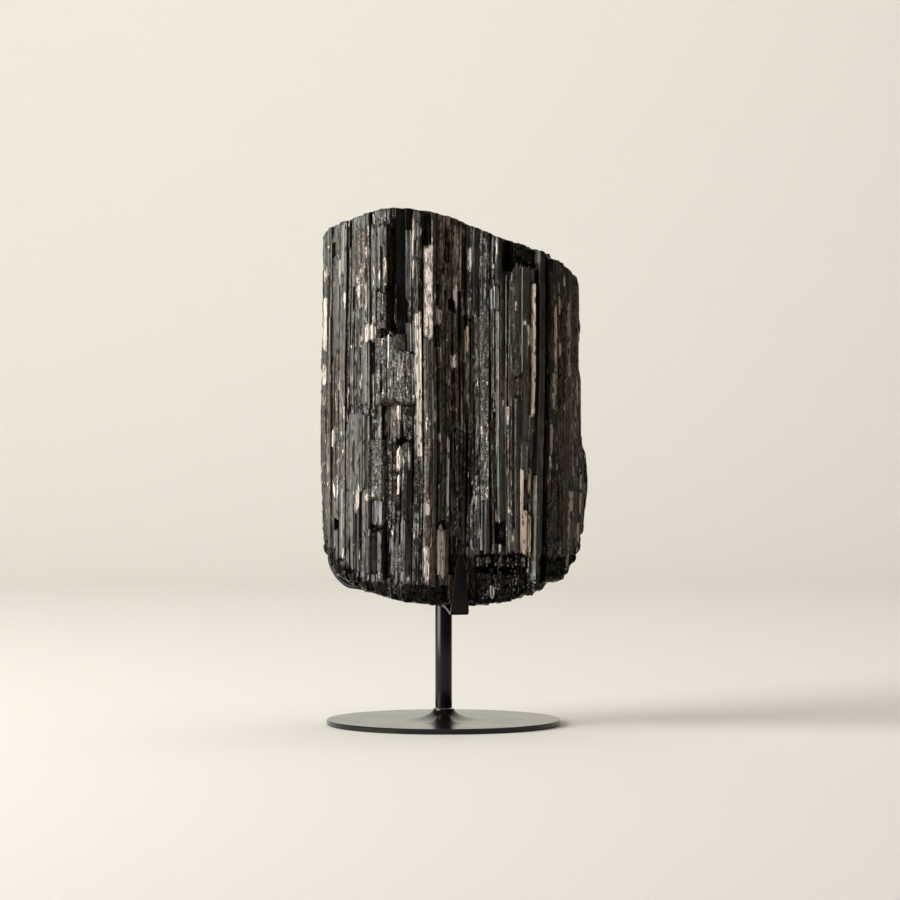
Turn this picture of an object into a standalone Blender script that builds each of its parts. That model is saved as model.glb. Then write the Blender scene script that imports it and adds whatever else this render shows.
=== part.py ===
"""Black tourmaline on a stand: a log of fused black prismatic crystals, held upright by a three-prong steel
cradle on a round post with a trumpet-footed disc base.

Metres, +Z up. The origin is the centre of the disc's underside, and the front faces -Y.
"""

import math
import random

import bmesh
import bpy
from mathutils import Matrix, Vector
from mathutils.geometry import interpolate_bezier

MM = 0.001
GAP = 0.3 * MM

# Stand: lacquered steel
BASE_RADIUS = 75 * MM
BASE_THICKNESS = 3.5 * MM
BASE_EDGE_BEVEL = 0.5 * MM
FLARE_RADIUS = 33 * MM
FLARE_HEIGHT = 6.8 * MM
FLARE_SPREAD = 1.6
FLARE_STEEPNESS = 2.2
FLARE_STEPS = 9
POST_RADIUS = 5.4 * MM
POST_CHAMFER = 0.5 * MM
SHOULDER = 1.2 * MM
HUB_RADIUS = 10 * MM
HUB_BOTTOM = 76.9 * MM
HUB_THICKNESS = 2.6 * MM
PRONG_WIDTH = 11.6 * MM
PRONG_NECK_WIDTH = 8.5 * MM
PRONG_TIP_WIDTH = 1.4 * MM
BLADE_LENGTH = 36 * MM
BLADE_FULLNESS = 0.62
PRONG_THICKNESS = 2.2 * MM
PRONG_BEVEL = 0.35 * MM
PRONG_STEPS = 4
SEAT_REACH = 7 * MM
ROUND_STEPS = 64
SMALL_ROUND_STEPS = 32

# Each prong: its bearing in degrees from the front towards the right, and its outer face as
# (distance from the post's axis, height) in millimetres, from the hub to the tip
PRONGS = {
    "front_prong": (10.4, (
        (10.4, 76.9), (30, 76.3), (46, 74.2), (53, 73.2), (56.6, 74.4), (57.8, 78), (58.2, 92),
        (57.4, 111.2),
    )),
    "left_prong": (-110, (
        (10.4, 76.9), (30, 79.2), (46, 83.6), (56, 85.8), (64.5, 87), (71.6, 91.8), (76.4, 98), (79, 103.8),
        (79.6, 109.6),
    )),
    "back_prong": (130, (
        (10.4, 76.9), (30, 78), (46, 80), (58, 81.6), (66, 83.2), (72.4, 87), (76.4, 93), (78.2, 100),
        (78.6, 111.6),
    )),
}

# Crystal log, in millimetres: its outline from above, anticlockwise from the left end, and the heights of
# its broken top and bottom along x
OUTLINE = (
    (-78, 2), (-75, -13), (-66, -27), (-52, -39), (-36, -49), (-21, -57), (-9, -60), (-2, -58), (5, -54),
    (16, -53), (24, -56), (34, -60), (48, -62), (60, -59), (70, -52), (79, -42), (85, -27), (87, -9),
    (86, 9), (81, 27), (70, 41), (50, 50), (24, 56), (-4, 57), (-32, 53), (-54, 43), (-69, 29), (-76, 16),
)
TOP_EDGE = (
    (-78, 314.5), (-70, 318.5), (-58, 323), (-45, 327.4), (-38, 329), (-30, 329.8), (-16, 328.4), (0, 324.8),
    (14, 319.8), (30, 312.8), (38, 309.2), (52, 305.4), (66, 298.6), (74, 295), (83, 285), (88, 277),
)
BOTTOM_EDGE = (
    (-78, 108), (-70, 99), (-60, 92), (-48, 87), (-36, 84), (-22, 81), (-8, 79.8), (22, 79.6), (36, 81.5),
    (48, 84), (56, 88), (64, 94), (76, 98), (82, 104), (88, 113), (93, 124),
)
TOP_FALL_TO_BACK = 0.09
TOP_FALL_START = -10
BOTTOM_RISE_TO_BACK = 0.035
# Its crystals: a lattice of stout ones inside, then slimmer ones along the rim, and slivers between those
LATTICE_PITCH = 15
LATTICE_WIDTH = 21
LATTICE_JITTER = 1.5
LATTICE_CENTRE = 4
LATTICE_INSET = 0.15
LATTICE_DROP = 2
LATTICE_ROUGHNESS = 3.3
LATTICE_ROWS = 5
LATTICE_COLUMNS = 6
ROW_SPACING = math.sqrt(3) / 2
RIM_PITCH = 7
RIM_WIDTHS = (8, 14)
RIM_SETBACK = (-0.6, 1.4)
RIM_EXTRA_DEPTH = 9
RIM_HOLLOW = 1.6
RIM_HOLLOW_PITCH = (9, 23)
SLIVER_SHARE = 0.6
SLIVER_WIDTHS = (4, 8)
SLIVER_PROUD = (0.4, 1.3)
SLIVER_MIDDLES = (130, 280)
SLIVER_HALF_LENGTHS = (18, 70)
SLIVER_END_MARGIN = 4
END_ROUGHNESS = 2.2
FRONT_ROUGHNESS = 1
END_TILT = 0.12
UNEVEN_SIDES = (0.9, 1.12)
SEED = 7

# Crystals that shape the front, in millimetres: x, y of the foremost face, width, bottom, top.
# None is the log's own broken end.
FRONT_CRYSTALS = (
    (-72, -18, 12, None, None), (-64, -29.5, 13, None, None), (-57, -36.5, 7, 128, None),
    (-51.5, -40, 12, None, None), (-44.5, -43.5, 7, 205, 252), (-41, -47.5, 10, 252, None),
    (-36, -51, 9, 206, 250), (-39, -43, 16, None, 210), (-24, -58.5, 8, 205, None), (-27, -54, 12, 200, 246),
    (-17, -60, 9, None, None), (-9.5, -62, 7, 146, None), (-5, -61, 5, 215, None),
    (-12, -59.5, 10, None, 150), (0, -57.5, 7, None, None), (6, -56, 7, 252, None),
    (14, -54.8, 10, 150, None), (12, -53, 8, None, 170), (22, -57, 8, 112, None), (29, -59.5, 8, 118, None),
    (35, -62.5, 6, 280, None), (34, -61, 10, 124, 276), (42, -61.5, 9, 112, 288), (49, -64.5, 9, 111, None),
    (57, -64, 9.5, None, None), (40, -55.5, 26, None, 116),
    (9, -54.5, 10, 76.2, 150), (4, -50, 14, None, None), (71, -56, 8, None, None), (77, -50, 8, 92, None),
    (82.5, -40, 8, 98, None), (86, -28, 8, 104, 262), (74, -42, 18, None, None),
)
FRONT_TURN = -0.35
LEFT_END = -70
FRONTWARD = Matrix.Identity(2)
# The spur low on the right-hand side, in millimetres: x, y of the centre, width, bottom, top
SPUR = ((87.2, -8, 13, 118, 181), (87.4, 4, 10, 126, 172), (86.4, -18, 9, 121, 160))


def make_material(name, colour, roughness, metallic):
    material = bpy.data.materials.new(name)
    material.use_nodes = True
    shader = material.node_tree.nodes["Principled BSDF"]
    shader.inputs["Base Color"].default_value = (*colour, 1)
    shader.inputs["Roughness"].default_value = roughness
    shader.inputs["Metallic"].default_value = metallic
    return material


def read_table(table, x):
    """The second value of a table of pairs, read at x by straight lines between its rows."""
    for (x0, value0), (x1, value1) in zip(table, table[1:]):
        if x <= x1:
            return value0 + (value1 - value0) * max(x - x0, 0) / (x1 - x0)
    return table[-1][1]


def add_object(name, mesh, collection, material):
    obj = bpy.data.objects.new(name, mesh)
    collection.objects.link(obj)
    mesh.materials.append(material)
    return obj


def turned(name, profile, collection, material, steps=ROUND_STEPS):
    """A solid turned about Z from a profile of (radius, height), given down its outer side."""
    mesh = bpy.data.meshes.new(name)
    points = [(radius, 0, height) for radius, height in profile]
    mesh.from_pydata(points, [(i, i + 1) for i in range(len(points) - 1)], [])
    obj = add_object(name, mesh, collection, material)
    screw = obj.modifiers.new("Turn", "SCREW")
    screw.steps = steps
    screw.render_steps = steps
    screw.use_merge_vertices = True
    screw.merge_threshold = 0.01 * MM
    screw.use_smooth_shade = False
    return obj


def make_cylinder(name, radius, bottom, top, collection, material):
    form = bmesh.new()
    bmesh.ops.create_cone(
        form, cap_ends=True, segments=SMALL_ROUND_STEPS, radius1=radius, radius2=radius, depth=top - bottom
    )
    bmesh.ops.translate(form, verts=form.verts, vec=(0, 0, (top + bottom) / 2))
    mesh = bpy.data.meshes.new(name)
    form.to_mesh(mesh)
    form.free()
    return add_object(name, mesh, collection, material)


def make_base(collection, material):
    """The disc, whose top sweeps up to the post in a trumpet flare."""
    top = BASE_THICKNESS + FLARE_HEIGHT
    foot = POST_RADIUS + SHOULDER
    profile = [(0, top), (foot, top)]
    for step in range(1, FLARE_STEPS + 1):
        t = step / FLARE_STEPS
        radius = foot + (FLARE_RADIUS - foot) * t ** FLARE_SPREAD
        profile.append((radius, BASE_THICKNESS + FLARE_HEIGHT * (1 - t) ** FLARE_STEEPNESS))
    profile += [
        (BASE_RADIUS - BASE_EDGE_BEVEL, BASE_THICKNESS),
        (BASE_RADIUS, BASE_THICKNESS - BASE_EDGE_BEVEL),
        (BASE_RADIUS, BASE_EDGE_BEVEL),
        (BASE_RADIUS - BASE_EDGE_BEVEL, 0),
        (0, 0),
    ]
    return turned("base", profile, collection, material)


def make_post(collection, material):
    bottom = BASE_THICKNESS + FLARE_HEIGHT + GAP
    top = HUB_BOTTOM - GAP
    profile = [
        (0, top),
        (POST_RADIUS - POST_CHAMFER, top),
        (POST_RADIUS, top - POST_CHAMFER),
        (POST_RADIUS, bottom + POST_CHAMFER),
        (POST_RADIUS - POST_CHAMFER, bottom),
        (0, bottom),
    ]
    return turned("post", profile, collection, material, steps=SMALL_ROUND_STEPS)


def make_hub(collection, material):
    top = HUB_BOTTOM + HUB_THICKNESS
    profile = [
        (0, top),
        (HUB_RADIUS - POST_CHAMFER, top),
        (HUB_RADIUS, top - POST_CHAMFER),
        (HUB_RADIUS, HUB_BOTTOM + POST_CHAMFER),
        (HUB_RADIUS - POST_CHAMFER, HUB_BOTTOM),
        (0, HUB_BOTTOM),
    ]
    return turned("cradle_hub", profile, collection, material, steps=SMALL_ROUND_STEPS)


def smooth_path(points):
    """Points along a smooth curve through the given ones, each with its distance along the curve."""
    knots = [Vector((radius * MM, 0, height * MM)) for radius, height in points]
    path = [knots[0]]
    for i in range(len(knots) - 1):
        before = knots[max(i - 1, 0)]
        after = knots[min(i + 2, len(knots) - 1)]
        span = (knots[i + 1] - knots[i]).length
        out_of = (knots[i + 1] - before).normalized() * span / 3
        into = (after - knots[i]).normalized() * span / 3
        start = knots[i]
        end = knots[i + 1]
        path += interpolate_bezier(start, start + out_of, end - into, end, PRONG_STEPS)[1:]
    distances = [0.0]
    for a, b in zip(path, path[1:]):
        distances.append(distances[-1] + (b - a).length)
    return path, distances


def prong_width(to_tip, length):
    """A prong widens from the hub to its bend, then narrows to the tip in a long convex blade."""
    if to_tip >= BLADE_LENGTH:
        grown = (length - to_tip) / (length - BLADE_LENGTH)
        return PRONG_NECK_WIDTH + (PRONG_WIDTH - PRONG_NECK_WIDTH) * grown
    return PRONG_TIP_WIDTH + (PRONG_WIDTH - PRONG_TIP_WIDTH) * (to_tip / BLADE_LENGTH) ** BLADE_FULLNESS


def make_prong(name, collection, material, is_cutter=False):
    """A tapered steel strip, bent up round the log, or the cutter that clears its place in the log."""
    bearing, points = PRONGS[name]
    clearance = GAP if is_cutter else 0
    path, distances = smooth_path(points)
    form = bmesh.new()
    bmesh.ops.create_grid(form, x_segments=len(path) - 1, y_segments=1, size=0.5)
    for vertex in form.verts:
        i = round((vertex.co.x + 0.5) * (len(path) - 1))
        half = prong_width(distances[-1] - distances[i], distances[-1]) / 2 + clearance
        vertex.co = path[i] + Vector((0, 2 * half * vertex.co.y, 0))
    bmesh.ops.rotate(form, verts=form.verts, matrix=Matrix.Rotation(math.radians(bearing - 90), 3, "Z"))
    mesh = bpy.data.meshes.new(name)
    form.to_mesh(mesh)
    form.free()
    obj = add_object(f"{name}_seat" if is_cutter else name, mesh, collection, material)
    wall = obj.modifiers.new("Thickness", "SOLIDIFY")
    outward = SEAT_REACH if is_cutter else 0
    inward = PRONG_THICKNESS + clearance
    wall.thickness = inward + outward
    wall.offset = 2 * inward / (inward + outward) - 1
    if not is_cutter:
        bevel = obj.modifiers.new("Edges", "BEVEL")
        bevel.width = PRONG_BEVEL
        bevel.segments = 1
    return obj


def top_height(x, y):
    return read_table(TOP_EDGE, x) - TOP_FALL_TO_BACK * max(y - TOP_FALL_START, 0)


def bottom_height(x, y):
    return read_table(BOTTOM_EDGE, x) + BOTTOM_RISE_TO_BACK * max(y, 0)


def add_crystal(name, x, y, width, depth, facing, bottom, top, rng, collection, material):
    """One upright prism of five to eight uneven sides, its broken ends tilted a little and its depth along
    the direction that it faces."""
    sides = rng.choice((5, 6, 6, 7, 8))
    form = bmesh.new()
    bmesh.ops.create_cone(
        form, cap_ends=True, segments=sides, radius1=width * MM / 2, radius2=width * MM / 2, depth=2
    )
    spread = [rng.uniform(*UNEVEN_SIDES) for _ in range(sides)]
    turn = rng.uniform(0, math.tau)
    lean = [Vector((rng.uniform(-END_TILT, END_TILT), rng.uniform(-END_TILT, END_TILT))) for _ in range(2)]
    for i, vertex in enumerate(form.verts):
        is_top = vertex.co.z > 0
        flat = Matrix.Rotation(turn, 2) @ Vector((vertex.co.x, vertex.co.y)) * spread[i // 2 % sides]
        flat = facing @ Vector((flat.x, flat.y * depth / width))
        height = (top if is_top else bottom) * MM + flat.dot(lean[is_top])
        vertex.co = (x * MM + flat.x, y * MM + flat.y, height)
    mesh = bpy.data.meshes.new(name)
    form.to_mesh(mesh)
    form.free()
    return add_object(name, mesh, collection, material)


def inside_outline(x, y, inset):
    """Whether a point is inside the outline drawn in towards the axis by a share of its size."""
    ring = [(px * (1 - inset), py * (1 - inset)) for px, py in OUTLINE]
    inside = False
    for (x0, y0), (x1, y1) in zip(ring, ring[1:] + ring[:1]):
        if (y0 > y) != (y1 > y) and x < x0 + (x1 - x0) * (y - y0) / (y1 - y0):
            inside = not inside
    return inside


def rim_places():
    """Evenly spaced points round the outline, each with the outward direction."""
    places = []
    for (x0, y0), (x1, y1) in zip(OUTLINE, OUTLINE[1:] + OUTLINE[:1]):
        length = math.hypot(x1 - x0, y1 - y0)
        count = max(round(length / RIM_PITCH), 1)
        out = Vector((y1 - y0, x0 - x1)) / length
        for i in range(count):
            t = (i + 0.5) / count
            places.append((Vector((x0 + (x1 - x0) * t, y0 + (y1 - y0) * t)), out))
    return places


def lattice_crystals(rng):
    """The body of the log: a lattice of stout crystals."""
    rows = []
    for row in range(-LATTICE_ROWS, LATTICE_ROWS + 1):
        for column in range(-LATTICE_COLUMNS, LATTICE_COLUMNS + 1):
            x = LATTICE_CENTRE + (column + 0.5 * (row % 2)) * LATTICE_PITCH
            x += rng.uniform(-LATTICE_JITTER, LATTICE_JITTER)
            y = row * LATTICE_PITCH * ROW_SPACING + rng.uniform(-LATTICE_JITTER, LATTICE_JITTER)
            if inside_outline(x, y, LATTICE_INSET):
                top = top_height(x, y) - LATTICE_DROP + rng.uniform(-LATTICE_ROUGHNESS, LATTICE_ROUGHNESS)
                bottom = bottom_height(x, y) + rng.uniform(0, END_ROUGHNESS)
                rows.append((x, y, LATTICE_WIDTH, LATTICE_WIDTH, FRONTWARD, bottom, top))
    return rows


def rim_crystals(rng):
    """The sides and back: slimmer crystals along the rim, with slivers that start and end part way up."""
    rows = []
    for place, out in rim_places():
        if out.y < FRONT_TURN and place.x > LEFT_END:
            continue
        width = rng.uniform(*RIM_WIDTHS)
        depth = width + RIM_EXTRA_DEPTH
        facing = Matrix.Rotation(math.atan2(out.y, out.x) + math.pi / 2, 2)
        wave = math.sin(place.x / RIM_HOLLOW_PITCH[0] + place.y / RIM_HOLLOW_PITCH[1])
        hollow = RIM_HOLLOW * max(wave, 0)
        centre = place - out * (depth / 2 + rng.uniform(*RIM_SETBACK) + hollow)
        bottom = bottom_height(centre.x, centre.y) + rng.uniform(0, END_ROUGHNESS)
        top = top_height(centre.x, centre.y) + rng.uniform(-END_ROUGHNESS, 0)
        rows.append((centre.x, centre.y, width, depth, facing, bottom, top))
        if rng.random() < SLIVER_SHARE:
            width = rng.uniform(*SLIVER_WIDTHS)
            depth = width + RIM_EXTRA_DEPTH
            centre = place - out * (depth / 2 - rng.uniform(*SLIVER_PROUD))
            middle = rng.uniform(*SLIVER_MIDDLES)
            reach = rng.uniform(*SLIVER_HALF_LENGTHS)
            low = max(middle - reach, bottom + SLIVER_END_MARGIN)
            high = min(middle + reach, top - SLIVER_END_MARGIN)
            rows.append((centre.x, centre.y, width, depth, facing, low, high))
    return rows


def make_tourmaline(collection, cutters, material):
    """The log's crystals: the first becomes the node, and the others are joined to it by a Boolean."""
    rng = random.Random(SEED)
    rows = lattice_crystals(rng) + rim_crystals(rng)
    for x, front, width, bottom, top in FRONT_CRYSTALS:
        depth = width + RIM_EXTRA_DEPTH
        y = front + depth / 2
        low = bottom_height(x, y) + rng.uniform(0, FRONT_ROUGHNESS) if bottom is None else bottom
        high = top_height(x, y) + rng.uniform(-FRONT_ROUGHNESS, FRONT_ROUGHNESS) if top is None else top
        rows.append((x, y, width, depth, FRONTWARD, low, high))
    rows += [(x, y, width, width, FRONTWARD, bottom, top) for x, y, width, bottom, top in SPUR]
    crystals = [
        add_crystal(f"crystal_{i:03d}", *row, rng, cutters, material) for i, row in enumerate(rows)
    ]
    log = crystals.pop(0)
    log.name = "tourmaline"
    cutters.objects.unlink(log)
    collection.objects.link(log)
    return log, crystals


for old in list(bpy.data.objects):
    bpy.data.objects.remove(old)

parts = bpy.data.collections.new("black_tourmaline_on_stand")
grown = bpy.data.collections.new("crystals")
seats = bpy.data.collections.new("cutters")
for group in (parts, grown, seats):
    bpy.context.scene.collection.children.link(group)
grown.hide_render = True
seats.hide_render = True

steel = make_material("black_lacquered_steel", (0.012, 0.011, 0.010), 0.35, 0.6)
schorl = make_material("black_tourmaline", (0.022, 0.020, 0.018), 0.3, 0.0)

make_base(parts, steel)
make_post(parts, steel)
make_hub(parts, steel)
for prong in PRONGS:
    make_prong(prong, parts, steel)
tourmaline, crystals = make_tourmaline(parts, grown, schorl)

hub_top = HUB_BOTTOM + HUB_THICKNESS
make_cylinder("hub_seat", HUB_RADIUS + GAP, HUB_BOTTOM - SEAT_REACH, hub_top + GAP, seats, steel)
for prong in PRONGS:
    make_prong(prong, seats, steel, is_cutter=True)

join = tourmaline.modifiers.new("Grow together", "BOOLEAN")
join.operation = "UNION"
join.operand_type = "COLLECTION"
join.collection = grown
join.solver = "EXACT"
cut = tourmaline.modifiers.new("Seats in the cradle", "BOOLEAN")
cut.operation = "DIFFERENCE"
cut.operand_type = "COLLECTION"
cut.collection = seats
cut.solver = "EXACT"
for helper in crystals + list(seats.objects):
    helper.hide_render = True
    helper.display_type = "WIRE"
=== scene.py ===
"""Black tourmaline on a stand, dressed for rendering: the steel stand, then the stone, then the studio."""
import math
import random
from functools import partial

import bpy
import numpy as np
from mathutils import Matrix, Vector
from mathutils.geometry import delaunay_2d_cdt, interpolate_bezier


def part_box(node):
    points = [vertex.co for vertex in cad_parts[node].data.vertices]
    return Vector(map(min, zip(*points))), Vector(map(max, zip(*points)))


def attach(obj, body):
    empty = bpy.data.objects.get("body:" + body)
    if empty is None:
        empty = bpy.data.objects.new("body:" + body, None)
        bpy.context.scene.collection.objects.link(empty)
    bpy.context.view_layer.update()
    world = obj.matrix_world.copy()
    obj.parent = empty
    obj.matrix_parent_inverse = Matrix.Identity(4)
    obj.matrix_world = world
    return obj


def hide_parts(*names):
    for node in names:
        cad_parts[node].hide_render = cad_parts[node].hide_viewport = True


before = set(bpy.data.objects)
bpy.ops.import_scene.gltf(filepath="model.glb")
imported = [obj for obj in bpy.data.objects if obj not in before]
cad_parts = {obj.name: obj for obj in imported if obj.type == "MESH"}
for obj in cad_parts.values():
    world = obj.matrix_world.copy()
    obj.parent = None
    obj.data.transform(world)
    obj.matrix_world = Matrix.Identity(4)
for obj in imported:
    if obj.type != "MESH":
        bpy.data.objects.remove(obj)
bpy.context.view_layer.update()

# ------------------------------------------------
# Disc base. A 150 mm steel disc, spun so that its top sweeps up to the post in a trumpet flare. It is
# sprayed with a satin black lacquer, which shows faint turning rings and mirrors the room at a low angle.
# ------------------------------------------------
MM = 0.001
BASE_RADIUS = 75 * MM
BASE_THICKNESS = 3.5 * MM
BASE_EDGE = 0.45 * MM
FLARE_RADIUS = 33 * MM
FLARE_HEIGHT = 6.8 * MM
FLARE_STEPS = 26
# Powers that make the flare sweep in and up like a trumpet's bell
FLARE_INWARD = 1.6
FLARE_UPWARD = 2.2
FOOT_RADIUS = 6.6 * MM
# Edges that bend more than this stay sharp on the steel
STEEL_CREASE = math.radians(32)


def linear(hex_colour):
    """An sRGB hex colour as the linear RGBA that the shader takes."""
    channels = [int(hex_colour[i:i + 2], 16) / 255 for i in (1, 3, 5)]
    return (*(c / 12.92 if c <= 0.04045 else ((c + 0.055) / 1.055) ** 2.4 for c in channels), 1)


def feed(node, inputs):
    """Gives a node its inputs, by name or in order: each is a value, the socket that feeds it, or a node
    whose first output does."""
    named = inputs if isinstance(inputs, dict) else dict(enumerate(inputs))
    for name, value in named.items():
        if isinstance(value, bpy.types.Node):
            value = next(socket for socket in value.outputs if socket.enabled)
        if isinstance(value, bpy.types.NodeSocket):
            node.id_data.links.new(value, node.inputs[name])
        else:
            node.inputs[name].default_value = value


def add_node(tree, kind, inputs=(), **settings):
    """Adds a shader node with its settings and inputs."""
    made = tree.nodes.new("ShaderNode" + kind)
    for name, value in settings.items():
        setattr(made, name, value)
    feed(made, inputs)
    return made


def new_material(name):
    """A material with its bare Principled shader: (material, shader, function that adds a node to it)."""
    material = bpy.data.materials.new(name)
    material.use_nodes = True
    return material, material.node_tree.nodes["Principled BSDF"], partial(add_node, material.node_tree)


def set_ramp(ramp, stops):
    """Gives a colour ramp its stops of (position, hex colour)."""
    while len(ramp.color_ramp.elements) < len(stops):
        ramp.color_ramp.elements.new(0.5)
    for element, (position, colour) in zip(ramp.color_ramp.elements, stops):
        element.position = position
        element.color = linear(colour)


def fresh_start():
    """Nothing selected, in object mode, so that the next operator acts only on its own piece."""
    if bpy.context.mode != "OBJECT":
        bpy.ops.object.mode_set(mode="OBJECT")
    bpy.ops.object.select_all(action="DESELECT")


def finish_piece(name, material, node):
    """Names the active object, settles its place into its mesh and hands it to the frame."""
    if bpy.context.mode != "OBJECT":
        bpy.ops.object.mode_set(mode="OBJECT")
    piece = bpy.context.object
    bpy.ops.object.transform_apply(location=True, rotation=True, scale=True)
    piece.name = name
    piece.data.materials.clear()
    piece.data.materials.append(material)
    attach(piece, "root")
    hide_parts(node)


def satin_lacquer(name, roughness, mirror, ring_pitch=None):
    """Black lacquer sprayed on steel: a dark even coat whose faint orange peel softens what it mirrors.
    Faint rings run about the post's axis on a turned piece."""
    material, shader, add = new_material(name)
    position = add("TexCoord").outputs["Object"]
    # Orange peel in sprayed lacquer is about 1.5 mm across, and the coat's blotches a few centimetres
    peel = add("TexNoise", {"Vector": position, "Scale": 1 / (1.5 * MM), "Detail": 2.0})
    blotch = add("TexNoise", {"Vector": position, "Scale": 1 / (28 * MM), "Detail": 4.0})
    tone = add("ValToRGB", {"Fac": blotch})
    set_ramp(tone, ((0.3, "#0e0d0c"), (0.7, "#171614")))
    rough = add("MapRange", {"Value": blotch, "From Min": 0.3, "From Max": 0.7,
                             "To Min": roughness[0], "To Max": roughness[1]})
    surface = add("Bump", {"Height": peel, "Strength": 0.05, "Distance": 0.05 * MM})
    if ring_pitch:
        rings = add("TexWave", {"Vector": position, "Scale": math.tau / (20 * ring_pitch),
                                "Distortion": 0.4, "Detail": 1.0}, wave_type="RINGS", rings_direction="Z")
        surface = add("Bump", {"Height": rings.outputs["Fac"], "Strength": 0.05, "Distance": 0.02 * MM,
                               "Normal": surface})
    # Matting powder in the coat takes some of the mirror away
    feed(shader, {"Base Color": tone, "Roughness": rough, "Normal": surface, "IOR": 1.5,
                  "Specular IOR Level": mirror})
    return material


fresh_start()
bpy.ops.mesh.primitive_circle_add(vertices=192, radius=BASE_RADIUS - BASE_EDGE, fill_type="NGON")
bpy.ops.object.mode_set(mode="EDIT")
bpy.ops.mesh.select_all(action="SELECT")
bpy.ops.mesh.extrude_region_move(TRANSFORM_OT_translate={"value": (0, 0, BASE_EDGE)})
grow = BASE_RADIUS / (BASE_RADIUS - BASE_EDGE)
bpy.ops.transform.resize(value=(grow, grow, 1))
bpy.ops.mesh.extrude_region_move(TRANSFORM_OT_translate={"value": (0, 0, BASE_THICKNESS - 2 * BASE_EDGE)})
bpy.ops.mesh.inset(thickness=BASE_EDGE, depth=BASE_EDGE)
bpy.ops.mesh.inset(thickness=BASE_RADIUS - BASE_EDGE - FLARE_RADIUS, depth=0)
for step in range(FLARE_STEPS):
    near, far = step / FLARE_STEPS, (step + 1) / FLARE_STEPS
    inward = (FLARE_RADIUS - FOOT_RADIUS) * ((1 - near) ** FLARE_INWARD - (1 - far) ** FLARE_INWARD)
    upward = FLARE_HEIGHT * (far ** FLARE_UPWARD - near ** FLARE_UPWARD)
    bpy.ops.mesh.inset(thickness=inward, depth=upward)
bpy.ops.object.mode_set(mode="OBJECT")
bpy.ops.object.shade_smooth_by_angle(angle=STEEL_CREASE)
lacquer = satin_lacquer("satin_black_lacquer_on_spun_steel", (0.13, 0.18), 0.3, 2.5 * MM)
finish_piece("base_disc", lacquer, "base")

# ------------------------------------------------
# Post. A length of 10.8 mm round steel bar, chamfered at both ends, welded upright on the flare and
# sprayed with the same lacquer.
# ------------------------------------------------
BAR_CHAMFER = 0.5 * MM


def turned_bar(node):
    """A round bar as big as the frame's piece, with a small chamfer round both ends."""
    low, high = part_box(node)
    fresh_start()
    bpy.ops.mesh.primitive_cylinder_add(
        vertices=96, radius=high.x, depth=high.z - low.z, location=(0, 0, (high.z + low.z) / 2),
    )
    bar = bpy.context.object
    bpy.ops.object.mode_set(mode="EDIT")
    bpy.ops.mesh.select_all(action="DESELECT")
    bpy.ops.mesh.select_mode(type="EDGE")
    bpy.ops.object.mode_set(mode="OBJECT")
    for edge in bar.data.edges:
        a, b = (bar.data.vertices[i].co for i in edge.vertices)
        edge.select = abs(a.z - b.z) < BAR_CHAMFER
    bpy.ops.object.mode_set(mode="EDIT")
    bpy.ops.mesh.bevel(offset=BAR_CHAMFER, segments=3)
    bpy.ops.object.mode_set(mode="OBJECT")
    bpy.ops.object.shade_smooth_by_angle(angle=STEEL_CREASE)


turned_bar("post")
bar_lacquer = satin_lacquer("satin_black_lacquer_on_steel_bar", (0.16, 0.22), 0.24)
finish_piece("round_post", bar_lacquer, "post")

# ------------------------------------------------
# Hub. A small round plate, turned from the same steel, that joins the three prongs on top of the post. The
# stone rests on it and hides it.
# ------------------------------------------------
turned_bar("cradle_hub")
finish_piece("hub_plate", bar_lacquer, "cradle_hub")

# ------------------------------------------------
# Prongs. Three tapered strips, cut from 2.2 mm steel sheet, bent up round the stone by hand until they hug
# it, and lacquered black. Their filed edges catch the light as thin bright lines.
# ------------------------------------------------
PRONG_THICKNESS = 2.2 * MM
PRONG_WIDTH = 11.6 * MM
PRONG_NECK_WIDTH = 8.5 * MM
PRONG_TIP_WIDTH = 1.4 * MM
PRONG_BLADE = 36 * MM
PRONG_BLADE_CURVE = 0.62
PRONG_STEPS = 6
PRONG_FILED_EDGE = 0.3 * MM
# Bearing in degrees from the front towards the right, then the outer face as (distance from the post's
# axis, height) in millimetres, from the hub to the tip
PRONGS = {
    "front_prong": (10.4, (
        (10.4, 76.9), (30, 76.3), (46, 74.2), (53, 73.2), (56.6, 74.4), (57.8, 78), (58.2, 92),
        (57.4, 111.2),
    )),
    "left_prong": (-110, (
        (10.4, 76.9), (30, 79.2), (46, 83.6), (56, 85.8), (64.5, 87), (71.6, 91.8), (76.4, 98), (79, 103.8),
        (79.6, 109.6),
    )),
    "back_prong": (130, (
        (10.4, 76.9), (30, 78), (46, 80), (58, 81.6), (66, 83.2), (72.4, 87), (76.4, 93), (78.2, 100),
        (78.6, 111.6),
    )),
}


def prong_path(points):
    """Points along the prong's outer face, on a smooth curve through the given ones."""
    knots = [Vector((radius * MM, 0, height * MM)) for radius, height in points]
    path = [knots[0]]
    for i, (knot, following) in enumerate(zip(knots, knots[1:])):
        before = knots[max(i - 1, 0)]
        after = knots[min(i + 2, len(knots) - 1)]
        span = (following - knot).length
        out_of = (following - before).normalized() * span / 3
        into = (after - knot).normalized() * span / 3
        path += interpolate_bezier(knot, knot + out_of, following - into, following, PRONG_STEPS)[1:]
    return path


def prong_widths(path):
    """The strip's width at each point: widening to the bend, then narrowing in a long convex blade."""
    lengths = [0.0]
    for a, b in zip(path, path[1:]):
        lengths.append(lengths[-1] + (b - a).length)
    widths = []
    for length in lengths:
        to_tip = lengths[-1] - length
        if to_tip >= PRONG_BLADE:
            grown = length / (lengths[-1] - PRONG_BLADE)
            widths.append(PRONG_NECK_WIDTH + (PRONG_WIDTH - PRONG_NECK_WIDTH) * grown)
        else:
            share = (to_tip / PRONG_BLADE) ** PRONG_BLADE_CURVE
            widths.append(PRONG_TIP_WIDTH + (PRONG_WIDTH - PRONG_TIP_WIDTH) * share)
    return widths


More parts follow.
